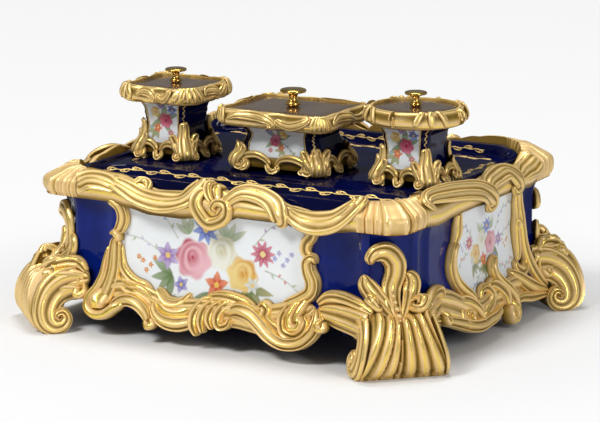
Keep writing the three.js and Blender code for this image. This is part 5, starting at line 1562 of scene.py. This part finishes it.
# Pot mounts: the gilt apron that each pot stands in, modelled as C-scrolls between four scrolled feet,
# with an acanthus leaf up every corner.
def pot_mount(pot):
    bm = moulding()
    widest = max(scale for _, scale in pot["profile"][:3])
    seat = pot["foot"] - clearance
    top = pot["foot"] + 0.005
    floor = tray_floor + clearance
    base = seat - 0.0026
    opening = pot["bore"] - 0.002
    rows = [
        lambda s: pot_ring(pot, s, widest, 0.0016, base),
        lambda s: pot_ring(pot, s, widest, 0.0024, seat - 0.001),
        lambda s: pot_ring(pot, s, widest, 0.0022, top - 0.001),
        lambda s: pot_ring(pot, s, widest, 0.0014, top),
        lambda s: pot_ring(pot, s, widest, 0.0004, top),
        lambda s: pot_ring(pot, s, widest, 0.0004, seat),
        lambda s: round_ring(pot, s, opening, seat),
        lambda s: round_ring(pot, s, opening, base),
        lambda s: pot_ring(pot, s, widest, 0.0016, base),
    ]
    skin(bm, 120, len(rows) - 1, lambda s, t: (rows[round(t * (len(rows) - 1))](s), 0.0))
    half_x, half_y = (side * widest for side in pot["half"])

    def side_host(facing):
        away = half_y if facing in (0, 2) else half_x

        def host(u, v, out):
            lean = 0.003 * ease((pot["foot"] - v) / 0.006)
            reach = away + 0.0030 + lean + out
            turns = ((u, -reach), (reach, u), (-u, reach), (-reach, -u))[facing]
            return Vector((pot["x"] + turns[0], pot_row + turns[1], v))
        return host

    for facing in range(4):
        wide = (half_x if facing in (0, 2) else half_y) + 0.001
        host = side_host(facing)
        up = floor + 0.0005

        def scroll(points, widths, heights):
            thick = [width * 1.25 for width in widths]
            ribbon(bm, hosted(host, [(u * wide, up + v) for u, v in points]), thick, heights, 2, 36, 16)

        scroll([(-0.86, 0.0045), (-0.80, 0.0022), (-0.68, 0.0028), (-0.66, 0.006), (-0.78, 0.0085),
                (-0.66, 0.0118), (-0.42, 0.0125), (-0.22, 0.010), (-0.10, 0.006)],
               [0.002, 0.0030, 0.0036, 0.0044, 0.0042, 0.0032], [0.002, 0.003, 0.0028, 0.0024])
        scroll([(-0.20, 0.0068), (-0.12, 0.0030), (0.0, 0.0018), (0.10, 0.0042), (0.03, 0.0062)],
               [0.003, 0.0036, 0.0032, 0.002], [0.002, 0.003, 0.0024])
        scroll([(0.02, 0.0055), (0.16, 0.0105), (0.38, 0.0122), (0.62, 0.0108), (0.80, 0.0072),
                (0.78, 0.0035), (0.66, 0.0030), (0.64, 0.0055)],
               [0.0028, 0.0044, 0.0046, 0.0042, 0.0032, 0.002], [0.002, 0.0028, 0.003, 0.002])
        eye = pot["out"] * 0.52
        for side in (-1, 1):
            middle = side * (wide - eye * 1.15)
            ribbon(bm, hosted(host, curl(middle, up + eye * 1.25, eye, 90, -side * 1.4, 0.25, 11)),
                   [eye * 0.7, eye * 0.8, eye * 0.7, eye * 0.5], [0.0026, 0.0034, 0.0036, 0.0036], 2, 48, 16)
    cant = min(pot["half"]) * widest * cant_share
    for signs in ((1, 1), (-1, 1), (-1, -1), (1, -1)):
        def corner(u, v, out):
            lean = (pot_scale(pot, v) - widest) * min(pot["half"])
            away = (out + 0.0004 + min(lean, 0)) / math.sqrt(2)
            side = u / math.sqrt(2)
            return Vector((
                pot["x"] + signs[0] * (half_x - cant / 2 + away + side),
                pot_row + signs[1] * (half_y - cant / 2 + away - side), v))

        out = pot["out"]
        high = pot["leaf_top"]

        def leaf(points, widths, heights, flutes=3):
            pairs = []
            for i, (u, v, reach) in enumerate(points):
                before = points[max(i - 1, 0)]
                after = points[min(i + 1, len(points) - 1)]
                rise, run = after[1] - before[1], after[2] - before[2]
                here = corner(u, v, reach)
                facing = corner(u, v, reach + 0.01) - here
                pairs.append((here, facing.normalized() * rise - Vector((0, 0, 1)) * run))
            ribbon(bm, pairs, widths, heights, flutes, 40, 20, (0.08, 0.12))

        rest = floor + 0.0012
        knee = rest + 0.0085
        leaf([(0.0, rest, out - 0.003), (0.0, rest + 0.004, out - 0.0005), (0.0, knee, out - 0.003),
              (0.0, blend(knee, high, 0.35), 0.0012), (0.0005, blend(knee, high, 0.7), 0.0008),
              (-0.0002, high - 0.001, 0.0014), (-0.0008, high, 0.003)],
             [0.0110, 0.0125, 0.0120, 0.0100, 0.0080, 0.0062, 0.0040], [0.002, 0.0035, 0.004, 0.0032, 0.0028])
        for side in (-1, 1):
            leaf([(side * 0.0035, rest + 0.002, out - 0.003), (side * 0.0055, rest + 0.008, out - 0.0045),
                  (side * 0.0072, rest + 0.0125, 0.0014), (side * 0.0088, rest + 0.0165, 0.0012),
                  (side * 0.0105, rest + 0.0185, 0.0022)],
                 [0.006, 0.0072, 0.0068, 0.0058, 0.0030], [0.002, 0.003, 0.0028, 0.002], 2)
            toe = []
            for i, (u, v) in enumerate(((5, 9), (6, 5), (6, 1), (6, 0.5), (6, 3))):
                u, up = side * u / 1000, rest + v / 1000
                aside = corner(u + side * 0.01, up, out - 0.004) - corner(u, up, out - 0.004)
                toe.append((corner(u, up, out - 0.004 - 0.0004 * i), aside))
            ribbon(bm, toe, [0.004, 0.005, 0.004, 0.0025], [0.002, 0.0026, 0.002], 2, 40, 16)
    piece = settle(bm, pot["name"] + "_mount", gilt)
    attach(piece, pot["name"])
    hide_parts(pot["name"] + "_base")


# Pot rims: a gilt lip moulded apart and luted round each pot's mouth, of overlapping scrolls with a
# serpentine edge and folded corners, rebated for the lid's plate.
def pot_rim(pot):
    half_x, half_y, radius = pot["plate"]
    face_share = 0.7
    lip = 0.0024
    throat = pot["bore"] + 0.0036
    seat = pot["top"] + clearance
    ledge = pot["plate_top"] - 0.0018

    def edge(s, offset):
        reach = max(offset, 0.0)
        x, y = rounded_plan(s, half_x + offset, -half_y - offset, half_y + offset, radius + reach)
        return Vector((x, y, 0.0))

    def at_height(s, offset, z):
        return Vector((pot["x"], pot_row, z)) + edge(s, offset)

    def surface(s, w):
        """The rim's outer face: s round it, w from its crest down to its lip."""
        out, drop = spline(pot_rim_section, w)
        here = edge(s, pot["reach"] * out)
        away = here.normalized()
        wave = math.cos(s * 2 * math.pi * pot["waves"]) * pot["wave"] * out
        z = blend(pot["rim_top"], pot["rim_foot"], drop)
        here += away * wave
        z += 0.0007 * math.sin(s * 2 * math.pi * pot["waves"] + 1.0) * (1 - drop) * out
        return Vector((pot["x"] + here.x, pot_row + here.y, z))

    def place(s, t):
        around, section = t, s
        if section < face_share:
            w = section / face_share
            flutes = 0.5 - 0.5 * math.cos(2 * math.pi * 2 * (w + 0.06 * math.sin(around * 2 * math.pi * 4)))
            here = surface(around, w)
            middle = Vector((pot["x"], pot_row, here.z))
            depth = 0.0009 * (1 - flutes ** 0.7) * ease(min(w, 1 - w) / 0.1)
            return here + (middle - here).normalized() * depth, flutes
        inner = [
            surface(around, 1.0),
            at_height(around, lip, pot["rim_foot"]),
            at_height(around, lip, seat),
            round_ring(pot, around, throat, seat),
            round_ring(pot, around, throat, ledge),
            at_height(around, clearance, ledge),
            at_height(around, clearance, pot["rim_top"] - 0.0010),
            surface(around, 0.0),
        ]
        i = min(7, round((section - face_share) / (1 - face_share) * 10))
        return inner[i], 0.3

    bm = moulding()
    skin(bm, 33, 240, place)

    def host(s):
        def there(u, v, out):
            w = clamp(v)
            here = surface(s + u, w)
            ahead = surface(s + u + 0.002, w) - here
            down = surface(s + u, min(1.0, w + 0.03)) - surface(s + u, max(0.0, w - 0.03))
            normal = down.cross(ahead).normalized()
            if normal.dot(here - Vector((pot["x"], pot_row, here.z - 0.02))) < 0:
                normal.negate()
            return here + normal * out
        return there

    for i in range(4):
        for places, widths, heights in pot_rim_scrolls:
            ribbon(bm, hosted(host(i / 4), places), metres(widths), metres(heights), 3, 60, 24)
        for rib in (-2, -1, 0, 1, 2) if radius < 0.02 else (-1, 0, 1):
            fold = [(rib * 0.003, 0.16), (rib * 0.0052, 0.36), (rib * 0.0075, 0.60), (rib * 0.0080, 0.80)]
            tallest = 0.0018 - 0.0003 * abs(rib)
            ribbon(bm, hosted(host(i / 4 + 0.125), fold), [0.0026, 0.0044, 0.0050, 0.0030],
                   [0.0008, tallest, tallest, 0.0010], 1, 30, 12, (0.15, 0.2))
    piece = settle(bm, pot["name"] + "_gilt_rim", gilt)
    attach(piece, pot["name"])
    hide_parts(pot["name"] + "_rim")


pot_rim_section = [Vector(pair) for pair in (
    (0.12, 0), (0.4, -0.02), (0.75, 0.12), (1, 0.5), (0.9, 0.86), (0.55, 1),
)]
# Each scroll has its places, as shares of the way round and down, and its widths and heights in millimetres.
pot_rim_scrolls = [
    ([(-0.095, 0.62), (-0.075, 0.50), (-0.040, 0.46), (-0.005, 0.52), (0.015, 0.64), (0.012, 0.74),
      (0.002, 0.70)],
     [3, 6, 7.8, 7.2, 5, 3.5, 2], [1, 1.8, 2.2, 2]),
    ([(0.020, 0.52), (0.035, 0.63), (0.060, 0.66), (0.085, 0.56), (0.098, 0.44), (0.090, 0.38), (0.084, 0.46)],
     [3, 5.5, 7.2, 6.6, 4.5, 3, 2], [1, 1.8, 2.2, 1.8]),
]
for pot in pots:
    pot_mount(pot)
    pot_rim(pot)


# Lids and wells: a polished bronze-brown plate with a softened edge, a brass collar under it, and a
# turned brass knob whose stud passes through the plate to a nut. Below each one, a slip-cast white well
# hangs by its rolled lip in the pot.
def turned_piece(name, pot, profile, finish, body, node, steps=48):
    bm = moulding()
    line = [bm.verts.new((pot["x"] + radius, pot_row, z)) for radius, z in profile]
    edges = [bm.edges.new(pair) for pair in zip(line, line[1:])]
    bmesh.ops.spin(bm, geom=line + edges, cent=(pot["x"], pot_row, 0), axis=(0, 0, 1), dvec=(0, 0, 0),
                   angle=2 * math.pi, steps=steps, use_merge=True)
    bmesh.ops.remove_doubles(bm, verts=bm.verts, dist=weld_distance)
    piece = settle(bm, name, finish)
    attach(piece, body)
    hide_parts(node)


def polished_brass():
    finish = Finish("polished_brass")
    cloud = finish.spots(160.0)
    tint = finish.ramp(cloud, (0.3, (0.52, 0.32, 0.06)), (0.7, (0.80, 0.56, 0.16)))
    values = {"Base Color": tint, "Metallic": 1.0, "Roughness": 0.14 + 0.16 * cloud}
    values["Normal"] = finish.bumped(cloud, 0.0002)
    return finish.surface(values)


def bronze_sheet():
    finish = Finish("bronze_plate")
    cloud = finish.spots(40.0)
    fine = finish.spots(600.0, 2.0)
    tint = finish.ramp(cloud * 0.7 + fine * 0.3, (0.3, (0.42, 0.29, 0.18)), (0.7, (0.52, 0.37, 0.24)))
    values = {"Base Color": tint, "Metallic": 0.9, "Roughness": 0.10 + 0.12 * fine}
    values["Normal"] = finish.bumped(fine, 0.0001)
    return finish.surface(values)


def liner_glaze():
    finish = Finish("white_glaze")
    cloud = finish.spots(60.0)
    tint = finish.ramp(cloud, (0.3, (0.72, 0.73, 0.70)), (0.7, (0.80, 0.80, 0.77)))
    values = {"Base Color": tint, "Roughness": 0.10 + 0.1 * cloud, "Coat Weight": 0.3}
    return finish.surface(values)


brass = polished_brass()
bronze = bronze_sheet()
white = liner_glaze()
plate_thickness = 0.0015
nut_height = 0.0022
stud_radius = 0.0016
# Shares of the knob's radius and height.
knob_profile = [
    (0.40, 0.0), (0.50, 0.04), (0.57, 0.10), (0.585, 0.16), (0.54, 0.23), (0.42, 0.29), (0.35, 0.36),
    (0.325, 0.45), (0.32, 0.55), (0.345, 0.63), (0.43, 0.69), (0.60, 0.735), (0.82, 0.765),
    (0.96, 0.795), (1.0, 0.83), (1.0, 0.89), (0.96, 0.94), (0.85, 0.97), (0.45, 0.995), (0.0, 1.0),
]
for pot in pots:
    name, lid = pot["name"], pot["lid"]
    top = pot["plate_top"]
    under = top - plate_thickness
    half_x, half_y, radius = pot["plate"]
    bm = moulding()
    plate_rows = [(None, under), (0.0, under), (0.0, top - 0.0003), (0.0003, top), (0.012, top), (None, top)]

    def plate_place(s, t):
        inset, z = plate_rows[round(t * 5)]
        if inset is None:
            return Vector((pot["x"], pot_row, z)), 0.0
        x, y = rounded_plan(s, half_x - inset, -half_y + inset, half_y - inset, max(radius - inset, 0.001))
        return Vector((pot["x"] + x, pot_row + y, z)), 0.0

    skin(bm, 160, 5, plate_place)
    plate = settle(bm, name + "_plate", bronze)
    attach(plate, lid)
    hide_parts(name + "_lid_plate")

    wide, high = pot["knob"]
    stud = under - clearance - nut_height
    base = top + clearance
    profile = [(0.0, stud), (stud_radius, stud), (stud_radius, base)]
    profile += [(wide * out, base + high * up) for out, up in knob_profile]
    turned_piece(name + "_knob", pot, profile, brass, lid, name + "_lid_knob")

    outer = pot["bore"] - 0.0004
    inner = outer - 0.002
    foot = pot["foot"] + 0.0027
    bottom = foot + 0.002
    seat = pot["top"] + clearance
    lip = pot["bore"] + 0.0032
    turned_piece(name + "_well", pot, [
        (0.0, foot), (outer - 0.001, foot), (outer, foot + 0.001), (outer, seat), (lip, seat),
        (lip, seat + 0.0012), (lip - 0.0004, seat + 0.0016),
        (outer - 0.0016, seat + 0.0016), (inner, seat + 0.0012), (inner, foot + 0.004),
        (outer - 0.003, foot + 0.0024), (outer - 0.005, bottom), (0.0, bottom),
    ], white, name, name + "_liner", 64)
    for part in ("_lid_collar", "_lid_nut"):
        bpy.data.objects[name + part].data.materials.clear()
        bpy.data.objects[name + part].data.materials.append(brass)

low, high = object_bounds()
{"cad": cad_box, "visual": [list(low), list(high)]}
